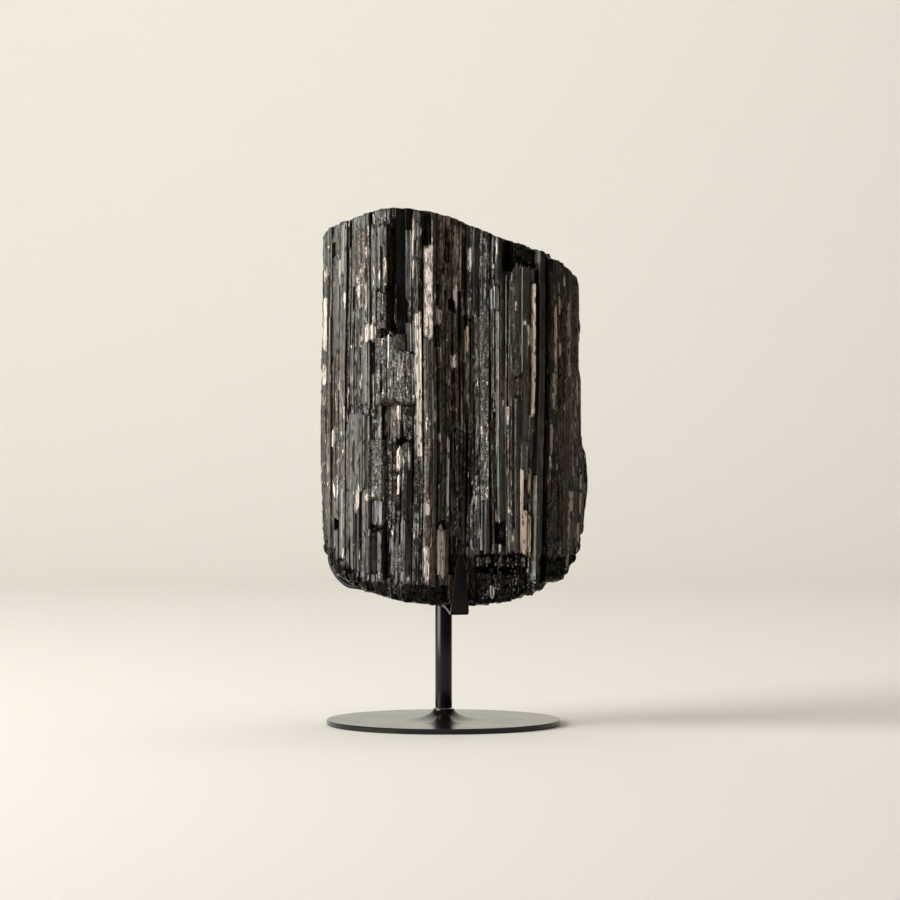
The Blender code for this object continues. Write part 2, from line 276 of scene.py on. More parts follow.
strip_lacquer = satin_lacquer("satin_black_lacquer_on_steel_strip", (0.26, 0.34), 0.12)
for prong_name, (bearing, points) in PRONGS.items():
    path = prong_path(points)
    widths = prong_widths(path)
    # One edge across the strip is drawn along the path, and its width changed at each step
    fresh_start()
    bpy.ops.mesh.primitive_plane_add(size=widths[0])
    bpy.ops.object.mode_set(mode="EDIT")
    bpy.ops.mesh.select_all(action="SELECT")
    bpy.ops.transform.resize(value=(0, 1, 1))
    bpy.ops.mesh.remove_doubles()
    bpy.ops.transform.translate(value=path[0])
    for k in range(1, len(path)):
        bpy.ops.mesh.extrude_region_move(TRANSFORM_OT_translate={"value": path[k] - path[k - 1]})
        bpy.ops.transform.resize(value=(1, widths[k] / widths[k - 1], 1), center_override=path[k])
    bpy.ops.object.mode_set(mode="OBJECT")
    strip = bpy.context.object
    strip.rotation_euler.z = math.radians(bearing - 90)
    wall = strip.modifiers.new("Sheet thickness", "SOLIDIFY")
    wall.thickness = PRONG_THICKNESS
    wall.offset = 1
    edges = strip.modifiers.new("Filed edges", "BEVEL")
    edges.width = PRONG_FILED_EDGE
    edges.segments = 3
    for modifier in ("Sheet thickness", "Filed edges"):
        bpy.ops.object.modifier_apply(modifier=modifier)
    bpy.ops.object.shade_smooth_by_angle(angle=STEEL_CREASE)
    finish_piece(f"{prong_name}_strip", strip_lacquer, prong_name)

# ------------------------------------------------
# Stone. A log of black tourmaline: hundreds of upright prismatic crystals grown together, most with flat
# glassy faces, some etched rough, with flakes of pale mica and brown iron stain caught between them. It is
# snapped off across the crystals at both ends and only rests in the prongs.
# ------------------------------------------------
# In millimetres: outline from above, anticlockwise from the left, and heights of the broken ends along x
OUTLINE = (
    (-78, 2), (-75, -13), (-66, -27), (-52, -39), (-36, -49), (-21, -57), (-9, -60), (-2, -58), (5, -54),
    (16, -53), (24, -56), (34, -60), (48, -62), (60, -59), (70, -52), (79, -42), (85, -27), (87, -9),
    (86, 9), (81, 27), (70, 41), (50, 50), (24, 56), (-4, 57), (-32, 53), (-54, 43), (-69, 29), (-76, 16),
)
TOP_EDGE = (
    (-78, 314.5), (-74, 317.5), (-70, 318.5), (-64, 320.5), (-58, 322.6), (-52, 324.6), (-45, 326.6),
    (-38, 328.2), (-30, 328.6), (-24, 328.4), (-16, 327.4), (-9, 326), (0, 324.0), (7, 322), (14, 319),
    (22, 315.5), (30, 312), (38, 308.5), (46, 306.5), (52, 305), (56, 302.5), (65, 300.5), (66, 297.5),
    (74, 294.5), (79, 289.5), (83, 285), (86, 280),
)
BOTTOM_EDGE = (
    (-78, 108), (-74, 102), (-70, 98), (-60, 92), (-48, 87), (-36, 84), (-22, 81), (-8, 79.8), (22, 79.6),
    (36, 81.5), (48, 84), (56, 86.5), (60.4, 87.6), (61.2, 93.2), (68, 93.2), (75, 94.4), (80, 100.5),
    (84, 106), (88, 113),
)
# Slopes of the broken ends from front to back
TOP_FALL_TO_BACK = 0.09
BOTTOM_RISE_TO_BACK = 0.035
# Points of the surface: how far apart their upright rows are in front, as far as a little round the right
# end, and behind, how many a row has, how many of those are in its lowest stretch and how high that is, and
# how far apart the two at a sharp edge are
FRONT_PITCH = 0.55
FRONT_PITCH_PAST = 20
BACK_PITCH = 1.0
RINGS = 136
CLOSE_RINGS = 22
CLOSE_REACH = 17
EDGE_WIDTH = 0.12
EDGE_HEIGHT = 0.1
# How high the foot crumbles, and the rounding at the foot and at the top
CRUMBLE_HEIGHT = 14
FOOT_ROUND_HEIGHT = 6
FOOT_ROUND_DEPTH = 4.2
TOP_ROUND_HEIGHT = 1.6
TOP_ROUND_DEPTH = 0.7

# Columns in front, in millimetres: left side x, how far the left and right sides stand out, and the face
FRONT_COLUMNS = (
    (-78, 0.0, 0.5, "satin"), (-74.6, 0.6, 0.9, "satin"), (-71.2, 0.2, 0.7, "satin"),
    (-66.5, 0.9, 1.0, "satin"), (-62.2, -0.4, 0.2, "fibrous"), (-59.8, 0.2, 0.6, "satin"),
    (-57, 0.5, 0.7, "fibrous"), (-51.2, 0.7, 0.4, "satin"), (-46.4, -0.6, -0.3, "fibrous"),
    (-44.7, 0.6, 0.7, "fibrous"), (-40.4, 0.5, 0.2, "grainy"), (-35.2, -0.3, 0.1, "fibrous"),
    (-29.8, 0.6, 0.7, "satin"), (-27.4, 0.8, 0.9, "smooth"), (-23, 0.5, 0.3, "smooth"),
    (-19.6, 0.1, 0.5, "fibrous"), (-17.6, 0.4, 0.4, "fibrous"), (-13.3, -0.3, 0.0, "fibrous"),
    (-11.9, 0.6, 0.8, "speckled"), (-7.3, 1.3, 1.1, "satin"), (-4.9, -0.2, -0.5, "smooth"),
    (-3.6, 0.1, -0.3, "rusty"), (1.0, -0.2, 0.1, "rusty"), (5.3, 0.1, 0.2, "rusty"),
    (9.6, -0.2, -0.6, "rusty"), (13.4, -1.8, -1.5, "rusty"), (16.5, -1.2, -0.6, "fibrous"),
    (19.7, 0.4, 0.3, "fibrous"), (23.4, 0.6, 0.4, "smooth"), (28.8, -0.7, 0.2, "speckled"),
    (31.2, 0.5, 0.7, "fibrous"), (33.5, 0.9, 0.6, "olive"), (37.2, -0.2, 0.1, "olive"),
    (40.2, -0.3, 0.0, "speckled"), (45.2, 0.8, 1.2, "olive"), (49.8, 1.2, 0.9, "olive"),
    (54.2, -0.3, -0.3, "rusty"), (57.8, 1.9, 0.8, "olive"), (63.4, -6.5, -5.0, "dark"),
    (67.4, -0.1, 1.2, "speckled"), (71.6, -0.4, 0.9, "rusty"), (76.4, -0.2, 1.3, "olive"),
    (80, -0.2, 0.9, "speckled"), (83, 0.5, 0.8, "fibrous"),
)
# The other columns, round the back from this x: their widths, the least width of the last one, and their
# faces with how common each is
FRONT_END = 86.2
BACK_WIDTHS = (2.2, 3, 3.6, 4.2, 5, 5.6, 6.5, 7.5, 9.5)
LAST_WIDTH = 3
BACK_FACES = {"smooth": 5, "fibrous": 6, "grainy": 2, "rusty": 2}
# How far a column leans sideways at the top and at the bottom, by x along the front, in millimetres. It
# leans from the middle height, over the distances up and down that come after.
MIDDLE_HEIGHT = 226
LEAN_UP = 90
LEAN_DOWN = 138
LEAN = (
    (-78, 0, 0), (-62, 2.4, 0), (-48, 0, 0), (34, 0, 0), (46, 0, -1), (57, 0, -4), (67, 0, -4), (76, 0, -1),
    (86, 0, 0),
)
# Patches on the front, in millimetres: left x, right x, bottom, top, how far they stand out, and the face.
# They are ledges, broken hollows, plates and pale flakes, and two small pale patches that are painted
# glints.
FRONT_PATCHES = (
    # The left third
    (-60.8, -58.6, 304, 335, -2.2, "dark"), (-57, -46.4, 315.6, 335, 0.4, "satin"),
    (-57, -46.4, 283, 315.6, 0.2, "speckled"), (-46.4, -44.7, 303, 335, -1.8, "dark"),
    (-44.6, -33.4, 317.6, 335, 0.8, "grainy"), (-44.7, -35.2, 276.6, 318, 0.8, "satin"),
    (-38.8, -37.8, 277, 306, -0.9, "dark"), (-37.2, -35.2, 278, 299, 0.3, "mica"),
    (-40.6, -34.8, 251.8, 276, 1.4, "grainy"), (-38.2, -36.5, 257.4, 260.6, -1.2, "dark"),
    (-77.2, -74.2, 242, 271, 0.4, "mica"), (-77.5, -75, 219, 229, 0.4, "pale"),
    # The pale patches at x -70.8 to -69.4 and at -58 to -56.2 are painted glints: flake colour standing in
    # for highlights
    (-67.2, -65.4, 281, 297, 0.3, "mica"), (-70.8, -69.4, 178, 189, 0.4, "pale"),
    (-58, -56.2, 164, 181, 0.7, "pale"), (-68.4, -63.6, 158, 182, -0.6, "speckled"),
    (-68.4, -66, 125.2, 133.9, -3.0, "dark"), (-77.5, -73, 118.4, 120.4, -1.4, "dark"),
    (-47.8, -43.2, 243.4, 256.6, 1.0, "pale"), (-49, -42, 246.2, 253.8, 0.3, "pale"),
    (-71.2, -66.5, 236, 298, 0.0, "satin"), (-46.5, -42.1, 202.6, 244.6, -1.0, "glossy"),
    (-44.9, -44.2, 203, 222, 0.2, "mica"), (-59.8, -47.6, 201, 204, -0.8, "dark"),
    (-59.8, -51, 150, 201, 0.5, "satin"),
    # The recess beside the glossy column, and the broken bulge below it
    (-34.9, -29.6, 252, 311, -6.0, "stained"), (-33.4, -29.6, 311, 316.5, -5.0, "dark"),
    (-31.6, -29.6, 316.5, 322, -4.0, "dark"), (-29.8, -27.2, 256.6, 279.3, 1.5, "satin"),
    (-30.6, -25.6, 248, 256.4, -2.4, "crumbly"), (-28.2, -23, 238.6, 335, 1.2, "glossy"),
    (-22.3, -18.6, 314.4, 335, 0.9, "glossy"), (-19.2, -17.8, 283, 324, 0.5, "mica"),
    (-41.7, -23, 205.5, 248.6, 1.7, "grainy"), (-23, -18.4, 205.5, 237.6, 1.5, "grainy"),
    (-47.9, -41.7, 197.5, 202.6, 1.4, "grainy"), (-34.4, -33, 233, 246, 0.2, "mica"),
    (-34.8, -31.6, 214, 223.5, 0.2, "mica"), (-38.8, -37.4, 212, 231.5, -0.7, "dark"),
    (-38.8, -36.1, 183, 205.5, -2.8, "dark"), (-36.1, -27.3, 182.6, 205.5, -1.7, "speckled"),
    (-27.3, -19.6, 182.6, 205.5, -1.7, "flecked"), (-29.8, -28, 196.6, 204, 0.4, "mica"),
    (-27.9, -23.4, 184, 192.6, -1.2, "dark"), (-31.9, -20.4, 181.4, 182.8, -2.6, "dark"),
    (-44.7, -41.3, 183, 197.5, -0.5, "stained"), (-37.3, -27.3, 128.4, 181.4, -1.1, "flecked"),
    (-27.3, -20.4, 133, 181.4, -0.8, "dark"), (-47.4, -38.6, 146.2, 183, 0.4, "grainy"),
    (-47, -41, 144.6, 146.2, -1.4, "dark"), (-47, -38, 128.4, 144.6, -0.8, "smooth"),
    (-47, -37.4, 126.6, 128.4, -1.9, "dark"), (-48, -45.5, 98.3, 126.6, 0.8, "satin"),
    (-45.5, -41, 98.3, 126.6, -1.0, "glossy"), (-41, -38, 98.3, 126.6, 0.9, "satin"),
    (-37.9, -32.2, 95, 128.4, -3.0, "dark"), (-31.9, -30.6, 98.5, 128, 0.3, "mica"),
    (-30.5, -23.4, 101.4, 117, 0.3, "grainy"), (-22.9, -19.8, 98.3, 164, 1.2, "glossy"),
    (-29.8, -27.3, 165, 176.5, 0.4, "mica"), (-29.2, -28, 151, 158, 0.3, "mica"),
    # The middle
    (-19.6, -12.4, 117, 176, -0.3, "shaded"), (-18.4, -13.5, 209, 263, 0.7, "mica"),
    (-16.7, -13.5, 176, 209, 0.7, "mica"), (-12.6, -6.8, 245.5, 306, 0.5, "dusty"),
    (-11.9, -7.3, 306.3, 323.4, -2.6, "dark"), (-12.3, -6.6, 183, 245.5, 0.4, "satin"),
    (-4.4, -1.4, 254, 266.5, 0.5, "mica"), (-6, -2.3, 242, 253.6, -1.8, "dark"),
    (-2.3, -1.5, 230, 243, 0.3, "mica"), (-3.4, 3.6, 290, 335, 0.5, "smear"),
    (0.6, 3.7, 294.4, 315.6, -2.2, "dark"), (5.3, 11.4, 275.5, 318, 0.4, "smear"),
    (6.4, 9, 266, 277, 0.3, "mica"), (3.2, 7, 264.3, 270.5, -2.6, "dark"),
    (15.3, 17.8, 290.6, 301.9, 0.3, "mica"), (13.4, 19, 255.4, 260, -2.2, "dark"),
    (4.3, 8, 227.3, 237, 0.4, "pale"), (14.3, 15.9, 239, 254, 0.2, "tan"),
    (3, 19.4, 100, 188, -1.4, "dark"), (17.8, 20.5, 262, 335, 0.0, "smooth"),
    (20.5, 32.2, 277, 335, -0.5, "shaded"), (1.5, 2.9, 131.5, 183, 0.4, "mica"),
    (-1.7, -0.6, 169, 176.6, 0.3, "mica"), (-11, -8.5, 135.2, 146, 0.4, "mica"),
    (-12.2, -8.5, 96.4, 117, 0.4, "mica"), (-6, 3, 126.5, 132.6, -1.6, "dark"),
    (-4.1, 0.9, 99.5, 126.5, 0.8, "mica"),
    # The right third
    (33, 37.2, 281, 335, 1.4, "smooth"), (28.8, 35.6, 264.3, 279.6, 0.9, "smooth"),
    (23.4, 28.8, 145, 267, 0.3, "grainy"), (37.2, 43.5, 287.5, 335, -5.0, "dark"),
    (43.5, 54.2, 292.4, 335, -3.4, "crumbly"), (43.5, 54.2, 290.6, 292.4, -4.6, "dark"),
    (54.2, 57.8, 288.7, 335, -4.0, "dark"), (40.2, 45.2, 208, 283, 0.1, "speckled"),
    (50.2, 51.6, 253.6, 260, 0.4, "pale"), (51.6, 55.4, 240.2, 255.2, 0.5, "tan"),
    (55.4, 57.5, 198.5, 280, 1.1, "golden"), (54.2, 55.2, 183, 198.5, 0.3, "mica"),
    (52.2, 53.5, 158, 183, 0.2, "tan"), (49.2, 51.4, 110.8, 162.8, 0.3, "tan"),
    (51.4, 54.2, 110.8, 139, 0.3, "tan"), (54.2, 56.8, 110.8, 137, 1.4, "tan"),
    (54.7, 56.6, 148.4, 164, 0.3, "tan"), (51.4, 54.2, 139, 159, -1.0, "dark"),
    (55.4, 58, 187.9, 198.5, 0.2, "speckled"), (39.7, 41.6, 192.2, 204.8, 0.3, "pale"),
    (39.1, 42.2, 177.8, 186, 0.2, "speckled"), (32.2, 39.1, 117, 132.7, -3.0, "crumbly"),
    (37, 42.2, 112, 137, -0.7, "satin"), (34.1, 36, 110, 120, 0.2, "mica"),
    (19.5, 55.5, 74, 112, -3.2, "crumbly"), (19.5, 55.5, 100.4, 102, -4.8, "dark"),
    (28.2, 30.4, 84.5, 91.4, 0.4, "mica"), (65.5, 75, 107, 120, -0.4, "grainy"),
    (62, 86, 74, 110, -0.9, "crumbly"), (78.2, 79.8, 138, 150.5, 0.3, "golden"),
    (77.4, 78.4, 103, 138, 0.3, "golden"), (84.4, 85, 135, 150, 0.3, "golden"),
    (83.6, 84.4, 118, 131, 0.3, "golden"), (54.2, 57.8, 74, 110.8, -1.2, "dark"),
    (76.9, 78.5, 222, 272, 0.3, "dusty"), (76.1, 77.5, 204, 222, 0.3, "dusty"),
    (69.3, 70.5, 225, 266, 0.3, "dusty"), (68.4, 70.3, 203, 225, 0.3, "dusty"),
    (79.6, 81.8, 182, 229, 0.3, "smear"), (73.6, 74.8, 200, 262, 0.2, "speckled"),
    # The crumbling foot
    (-78, -73, 80, 119, -0.5, "crumbly"), (-73, -68, 80, 113.5, -0.6, "crumbly"),
    (-68, -62, 80, 106.5, -0.6, "crumbly"), (-62, -56, 80, 101, -0.7, "crumbly"),
    (-56, 3, 74, 93, -0.7, "crumbly"),
)
# How far left and right the stone reaches at each height, most of the right a spur of short crystals
LEFT_EDGE = (
    (80, -62), (95, -71), (104, -74), (113, -76.2), (128, -76.7), (153, -77.2), (155, -78.2), (222, -77.8),
    (272, -77.2), (312, -76.7),
)
RIGHT_EDGE = (
    (80, 75), (90, 78), (97, 82), (103, 84.6), (107, 86.8), (113, 87.3), (121, 86.8), (123, 89.2),
    (129, 90), (144, 91.3), (151, 92.2), (159, 92.2), (168, 91), (171, 89.2), (174, 88), (214, 88),
    (218, 87), (222, 85), (242, 85), (245, 87.2), (250, 87.2), (253, 85.5), (290, 85.3),
)

# Kinds of face: fibre, grain, mica, the mica's tone from cream to tan, iron stain and satin
# The 'dark' face is the stone's own glossy black; it is given to recesses, gaps and the deep groove, where
# its black also serves as painted shade
FACES = {
    "satin": (0.4, 0.0, 0.0, 0.0, 0.0, 1.0), "olive": (0.25, 0.0, 0.0, 0.0, 0.0, 0.62),
    "smooth": (0.15, 0.0, 0.0, 0.0, 0.0, 0.25), "glossy": (0.1, 0.0, 0.0, 0.0, 0.0, 0.0),
    "fibrous": (1.0, 0.15, 0.0, 0.0, 0.1, 0.9), "grainy": (0.3, 1.0, 0.0, 0.0, 0.1, 1.0),
    "speckled": (0.6, 0.8, 0.42, 0.4, 0.7, 0.8), "smear": (0.5, 0.3, 0.58, 0.9, 0.8, 0.8),
    "dusty": (0.5, 0.5, 0.72, 0.45, 0.5, 1.0), "rusty": (0.9, 0.25, 0.0, 0.0, 0.9, 0.7),
    "stained": (0.6, 0.7, 0.0, 0.0, 0.8, 0.2), "crumbly": (0.2, 1.0, 0.0, 0.0, 0.1, 0.0),
    "dark": (0.8, 0.2, 0.0, 0.0, 0.2, 0.05), "mica": (0.2, 0.15, 1.0, 0.1, 0.0, 1.0),
    "tan": (0.2, 0.1, 1.0, 0.85, 0.2, 1.0), "pale": (0.1, 0.3, 1.0, 0.0, 0.0, 1.0),
    "golden": (0.2, 0.1, 1.0, 0.8, 0.1, 1.0), "flecked": (0.5, 0.9, 0.42, 0.6, 0.15, 0.15),
    "shaded": (0.6, 0.6, 0.0, 0.0, 0.15, 0.3), "snapped": (0.1, 0.8, 0.0, 0.4, 0.12, 0.45),
}
# What the material reads at each point: those six, and how deep the point lies below its neighbours, which
# the shader darkens as painted shade
TRAITS = ("fibre", "grain", "mica", "tone", "stain", "satin", "hollow")
# How far a patch of each face hides the slats below it, where that is not MOST_CALM
MOST_CALM = 0.6
CALM = {
    "grainy": 0.95, "pale": 0.9, "smooth": 0.8, "glossy": 0.8, "olive": 0.8, "satin": 0.7, "speckled": 0.5,
    "flecked": 0.5, "shaded": 0.5, "smear": 0.4, "rusty": 0.3, "stained": 0.3, "dark": 0.3,
}
# How ragged the ends of a patch are in millimetres, where that is not MOST_RAGGED
MOST_RAGGED = 1.6
RAGGED = {"mica": 2.5, "tan": 2.5, "smooth": 0.3, "olive": 0.3, "glossy": 0.3}
# How much a patch's left side stands out for each millimetre of its width: glossy faces are turned to the
# right, and some pale ones to the left, towards the window
TURNED = {"glossy": 0.26, "golden": -0.35, "smear": -0.25, "dusty": -0.2}

# Slats that a column's face is split into: widths in rows of points, spread of their stand-out, usual
# length, share with a gap beside them, the gap's depth in millimetres, and share that is a flake
SLATS = {
    "satin": ((2, 3, 4, 6), 0.1, 50, 0.4, 0.8, 0.015), "smooth": ((3, 4, 5, 7), 0.06, 110, 0.3, 0.7, 0.02),
    "olive": ((3, 4, 6, 8), 0.07, 130, 0.3, 0.7, 0.01),
    "fibrous": ((1, 2, 2, 3, 4, 5), 0.2, 34, 0.5, 1.0, 0.03),
    "grainy": ((2, 3, 4), 0.18, 18, 0.35, 0.8, 0.025), "speckled": ((1, 2, 3), 0.22, 16, 0.4, 0.8, 0.03),
    "rusty": ((1, 2, 2, 3, 4), 0.26, 26, 0.5, 1.1, 0.035),
    "stained": ((1, 2, 2, 3), 0.4, 16, 0.6, 1.3, 0.04), "dark": ((2, 3, 4), 0.4, 40, 0.5, 1.0, 0.01),
}
# Shares of the slats that are rusty, smooth or broken out to a stained cavity, and the lengths that flakes
# and cavities stay under
RUSTY_SHARE = 0.05
SMOOTH_SHARE = 0.06
CAVITY_SHARE = 0.04
FLAKE_LENGTH = 16
CAVITY_LENGTH = 14
# Height that all slats reach past
SLATS_TOP = 335


def read_table(table, x, column=1):
    """A column of the table at x, on straight lines between its rows."""
    lines = np.array(table)
    return np.interp(x, lines[:, 0], lines[:, column])


def top_height(x, y):
    return read_table(TOP_EDGE, x) - TOP_FALL_TO_BACK * np.maximum(y + 10, 0)


def bottom_height(x, y):
    return read_table(BOTTOM_EDGE, x) + BOTTOM_RISE_TO_BACK * np.maximum(y, 0)


def scatter(i, j, seed):
    """A number from 0 to 1 for each pair of whole numbers, always the same for the same seed."""
    i, j = np.asarray(i, np.int64), np.asarray(j, np.int64)
    mixed = (i * 374761393 + j * 668265263 + seed * 974634777) & 0xFFFFFFFF
    mixed = ((mixed ^ (mixed >> 13)) * 1274126177) & 0xFFFFFFFF
    return ((mixed ^ (mixed >> 16)) & 0xFFFFFF) / 0xFFFFFF


def waves(u, v, seed, period=1 << 30):
    """Smooth noise from -1 to 1, which comes round again after a whole number of units of u."""
    i, j = np.floor(u).astype(np.int64), np.floor(v).astype(np.int64)
    f, g = u - i, v - j
    f, g = f * f * (3 - 2 * f), g * g * (3 - 2 * g)
    corners = [[scatter((i + a) % period, j + b, seed) for b in (0, 1)] for a in (0, 1)]
    low = corners[0][0] * (1 - g) + corners[0][1] * g
    high = corners[1][0] * (1 - g) + corners[1][1] * g
    return 2 * (low * (1 - f) + high * f) - 1


def chips(u, v, seed, period=1 << 30):
    """The height, about -1 to 1, of a surface broken into flat tilted chips one unit across."""
    i, j = np.floor(u).astype(np.int64), np.floor(v).astype(np.int64)
    nearest = np.full(np.shape(u), 9.0)
    height = np.zeros(np.shape(u))
    for a in (-1, 0, 1):
        for b in (-1, 0, 1):
            ci, cj = (i + a) % period, j + b
            du = u - i - a - scatter(ci, cj, seed)
            dv = v - j - b - scatter(ci, cj, seed + 1)
            distance = du * du + dv * dv
            tilt_u = 2.2 * (scatter(ci, cj, seed + 2) - 0.5)
            tilt_v = 2.2 * (scatter(ci, cj, seed + 3) - 0.5)
            plane = tilt_u * du + tilt_v * dv + 1.4 * scatter(ci, cj, seed + 4) - 0.7
            height = np.where(distance < nearest, plane, height)
            nearest = np.minimum(distance, nearest)
    return height


def rounded_ring(points, steps=24):
    """A smooth closed curve through the points."""
    ring = np.array(points, float)
    t = np.linspace(0, 1, steps, endpoint=False)[:, None]
    p0, p1, p2, p3 = (np.roll(ring, turn, axis=0)[:, None, :] for turn in (1, 0, -1, -2))
    bend = (2 * p0 - 5 * p1 + 4 * p2 - p3) * t ** 2 + (3 * p1 - p0 - 3 * p2 + p3) * t ** 3
    return (0.5 * (2 * p1 + (p2 - p0) * t + bend)).reshape(-1, 2)


ring = rounded_ring(OUTLINE)
closed_ring = np.vstack([ring, ring[:1]])
ring_reach = np.concatenate([[0], np.cumsum(np.hypot(*np.diff(closed_ring, axis=0).T))])
girth = ring_reach[-1]
front_part = ring[:, 0].argmax()
front_reach = ring_reach[front_part]


def reach_of(x):
    """The distance along the outline, from its left end, of the place on the front at x."""
    return np.interp(x, ring[:front_part + 1, 0], ring_reach[:front_part + 1])


def on_outline(distance):
    """The points of the outline at these distances along it."""
    return np.stack([np.interp(distance, ring_reach, closed_ring[:, axis]) for axis in (0, 1)], axis=1)


chance = random.Random(5)

# The columns all round: (start, left stand-out, right stand-out, face), each up to the next one's start
columns = [(float(reach_of(x)), left, right, face) for x, left, right, face in FRONT_COLUMNS]
start = float(reach_of(FRONT_END))
while start < girth - LAST_WIDTH:
    middle = chance.uniform(-2.2, 0.5)
    slope = chance.uniform(-0.7, 0.7)
    face = chance.choices(tuple(BACK_FACES), tuple(BACK_FACES.values()))[0]
    columns.append((start, middle - slope, middle + slope, face))
    start += chance.choice(BACK_WIDTHS)
column_starts = np.array([column[0] for column in columns])

# Upright rows of points, closer together in front, with one on each side of every column's edge
fine_reach = front_reach + FRONT_PITCH_PAST
reach = np.concatenate([
    np.arange(0, fine_reach, FRONT_PITCH),
    np.arange(fine_reach + FRONT_PITCH, girth - BACK_PITCH / 2, BACK_PITCH),
])
sharp_edges = sorted(
    set(column_starts[1:]) | {float(reach_of(x)) for patch in FRONT_PATCHES for x in patch[:2]}
)
taken = -1
for edge in sharp_edges:
    before = max(int(np.searchsorted(reach, edge)) - 1, taken + 1)
    if before + 1 < len(reach) and abs(reach[before] - edge) < 1.2:
        reach[before], reach[before + 1] = edge - EDGE_WIDTH / 2, edge + EDGE_WIDTH / 2
        taken = before + 1
reach = np.sort(reach)
rows = len(reach)
place = on_outline(reach)
tangent = on_outline((reach + 2) % girth) - on_outline((reach - 2) % girth)
tangent = tangent / np.linalg.norm(tangent, axis=1)[:, None]
outward = np.stack([tangent[:, 1], -tangent[:, 0]], axis=1)

# The first row lies a hair before the first column's start, and is part of it
column_of = np.maximum(np.searchsorted(column_starts, reach, side="right") - 1, 0)
column_ends = np.append(column_starts[1:], girth)
column_width = (column_ends - column_starts)[column_of]
across = (reach - column_starts[column_of]) / column_width
left_side, right_side = np.array([column[1:3] for column in columns])[column_of].T
# A column's face is bent along one line, as a prism's edge
crest = np.array([chance.uniform(0.2, 0.8) for _ in columns])[column_of]
crown = np.array([chance.choice((0.02, 0.05, 0.08, 0.12)) for _ in columns])[column_of]
crown = crown * np.minimum(column_width, 7)
stand_out = left_side * (1 - across) + right_side * across
stand_out += crown * np.where(across < crest, across / crest, (1 - across) / (1 - crest))

# Patches: (first row, last row, bottom, top, stand-out left, stand-out right, face or None, raggedness)
patches = []
for number, (start, _, _, face) in enumerate(columns):
    first, last = np.searchsorted(reach, (start, column_ends[number]))
    if last <= first:
        continue
    in_front = start < front_reach
    # Where crystals snapped off along the column, it steps in or out
    for _ in range(chance.choice((0, 1, 1, 2) if in_front else (1, 2, 2, 3))):
        level = chance.uniform(95, 310)
        step = chance.choice((-1, 1)) * chance.uniform(0.2, 0.5 if in_front else 1.5)
        low, high = (level, 400) if chance.random() < 0.5 else (0, level)
        patches.append((first, last, low, high, step, step, None, 0.8))
    # A gap beside the column, open along part of its height
    if chance.random() < 0.6:
        depth = chance.uniform(0.7, 2.4)
        level = chance.uniform(60, 200)
        patches.append((first, first + 1, level, level + chance.uniform(60, 220), -depth, -depth, None, 3))
    # Slats: the column is split into upright slats, each broken into lengths a little further in or out
    widths, spread, usual_length, gap_share, gap_depth, flake_share = SLATS[face]
    i = first
    while i < last:
        width = min(chance.choice(widths), last - i)
        level = chance.uniform(40, 90)
        while level < SLATS_TOP:
            length = usual_length * chance.lognormvariate(0, 0.6)
            out = chance.gauss(0, spread)
            slope = chance.uniform(-0.12, 0.12) * width
            kind = None
            ragged = 0.6
            sort = chance.random()
            if sort < flake_share:
                kind = chance.choice(("mica", "tan"))
                length = min(0.6 * length, FLAKE_LENGTH)
                ragged = 0.2 * length
            elif sort < flake_share + RUSTY_SHARE:
                kind = "rusty"
            elif sort < flake_share + RUSTY_SHARE + SMOOTH_SHARE:
                kind = "smooth"
            elif sort < flake_share + RUSTY_SHARE + SMOOTH_SHARE + CAVITY_SHARE:
                kind = "stained"
                length = min(length, CAVITY_LENGTH)
                out = -chance.uniform(0.8, 2.2)
            sides = out - slope / 2, out + slope / 2
            patches.append((i, i + width, level, level + length, *sides, kind, ragged))
            if chance.random() < gap_share:
                depth = gap_depth * chance.uniform(0.5, 1.5)
                patches.append((i, i + 1, level + 2, level + length - 2, -depth, -depth, None, 1.5))
            level += length
        i += width

slat_count = len(patches)
for x0, x1, low, high, out, face in FRONT_PATCHES:
    first, last = np.searchsorted(reach, (reach_of(x0), reach_of(x1)))
    turned = TURNED.get(face, 0) * (x1 - x0)
    sides = out + turned, out - turned
    patches.append((first, last, low, high, *sides, face, RAGGED.get(face, MOST_RAGGED)))

# Every patch's ragged ends, row by row, and for each row the heights where some patch ends
patch_ends = []
breaks = [[] for _ in range(rows)]
for number, (first, last, low, high, _, _, _, ragged) in enumerate(patches):
    index = np.arange(first, last)
    sway = 1.4 * waves(index / 7, np.full(len(index), number * 3.7), 33)
    lows = low + ragged * (0.8 * scatter(index // 2, number, 31) - 0.4 + sway)
    highs = high + ragged * (0.8 * scatter(index // 2, number, 32) - 0.4 - sway)
    patch_ends.append((lows, highs))
    for i, ends in zip(index, zip(lows, highs)):
        breaks[i] += ends

# The spur of short crystals on the right, each column of it shifted up or down, and the left end
spur_shift = np.array([chance.uniform(-9, 9) for _ in columns])[column_of] * (abs(reach - front_reach) > 7)
spur = np.interp(reach - front_reach, (-26, -12, 14, 30), (0, 1, 1, 0))
left_end = np.interp(reach, (12, 24, girth - 24, girth - 12), (1, 0, 0, 1))
row_bottom = bottom_height(place[:, 0], place[:, 1])
row_bottom = row_bottom + 0.8 * chips(reach / 4.5, np.zeros(rows), 41)


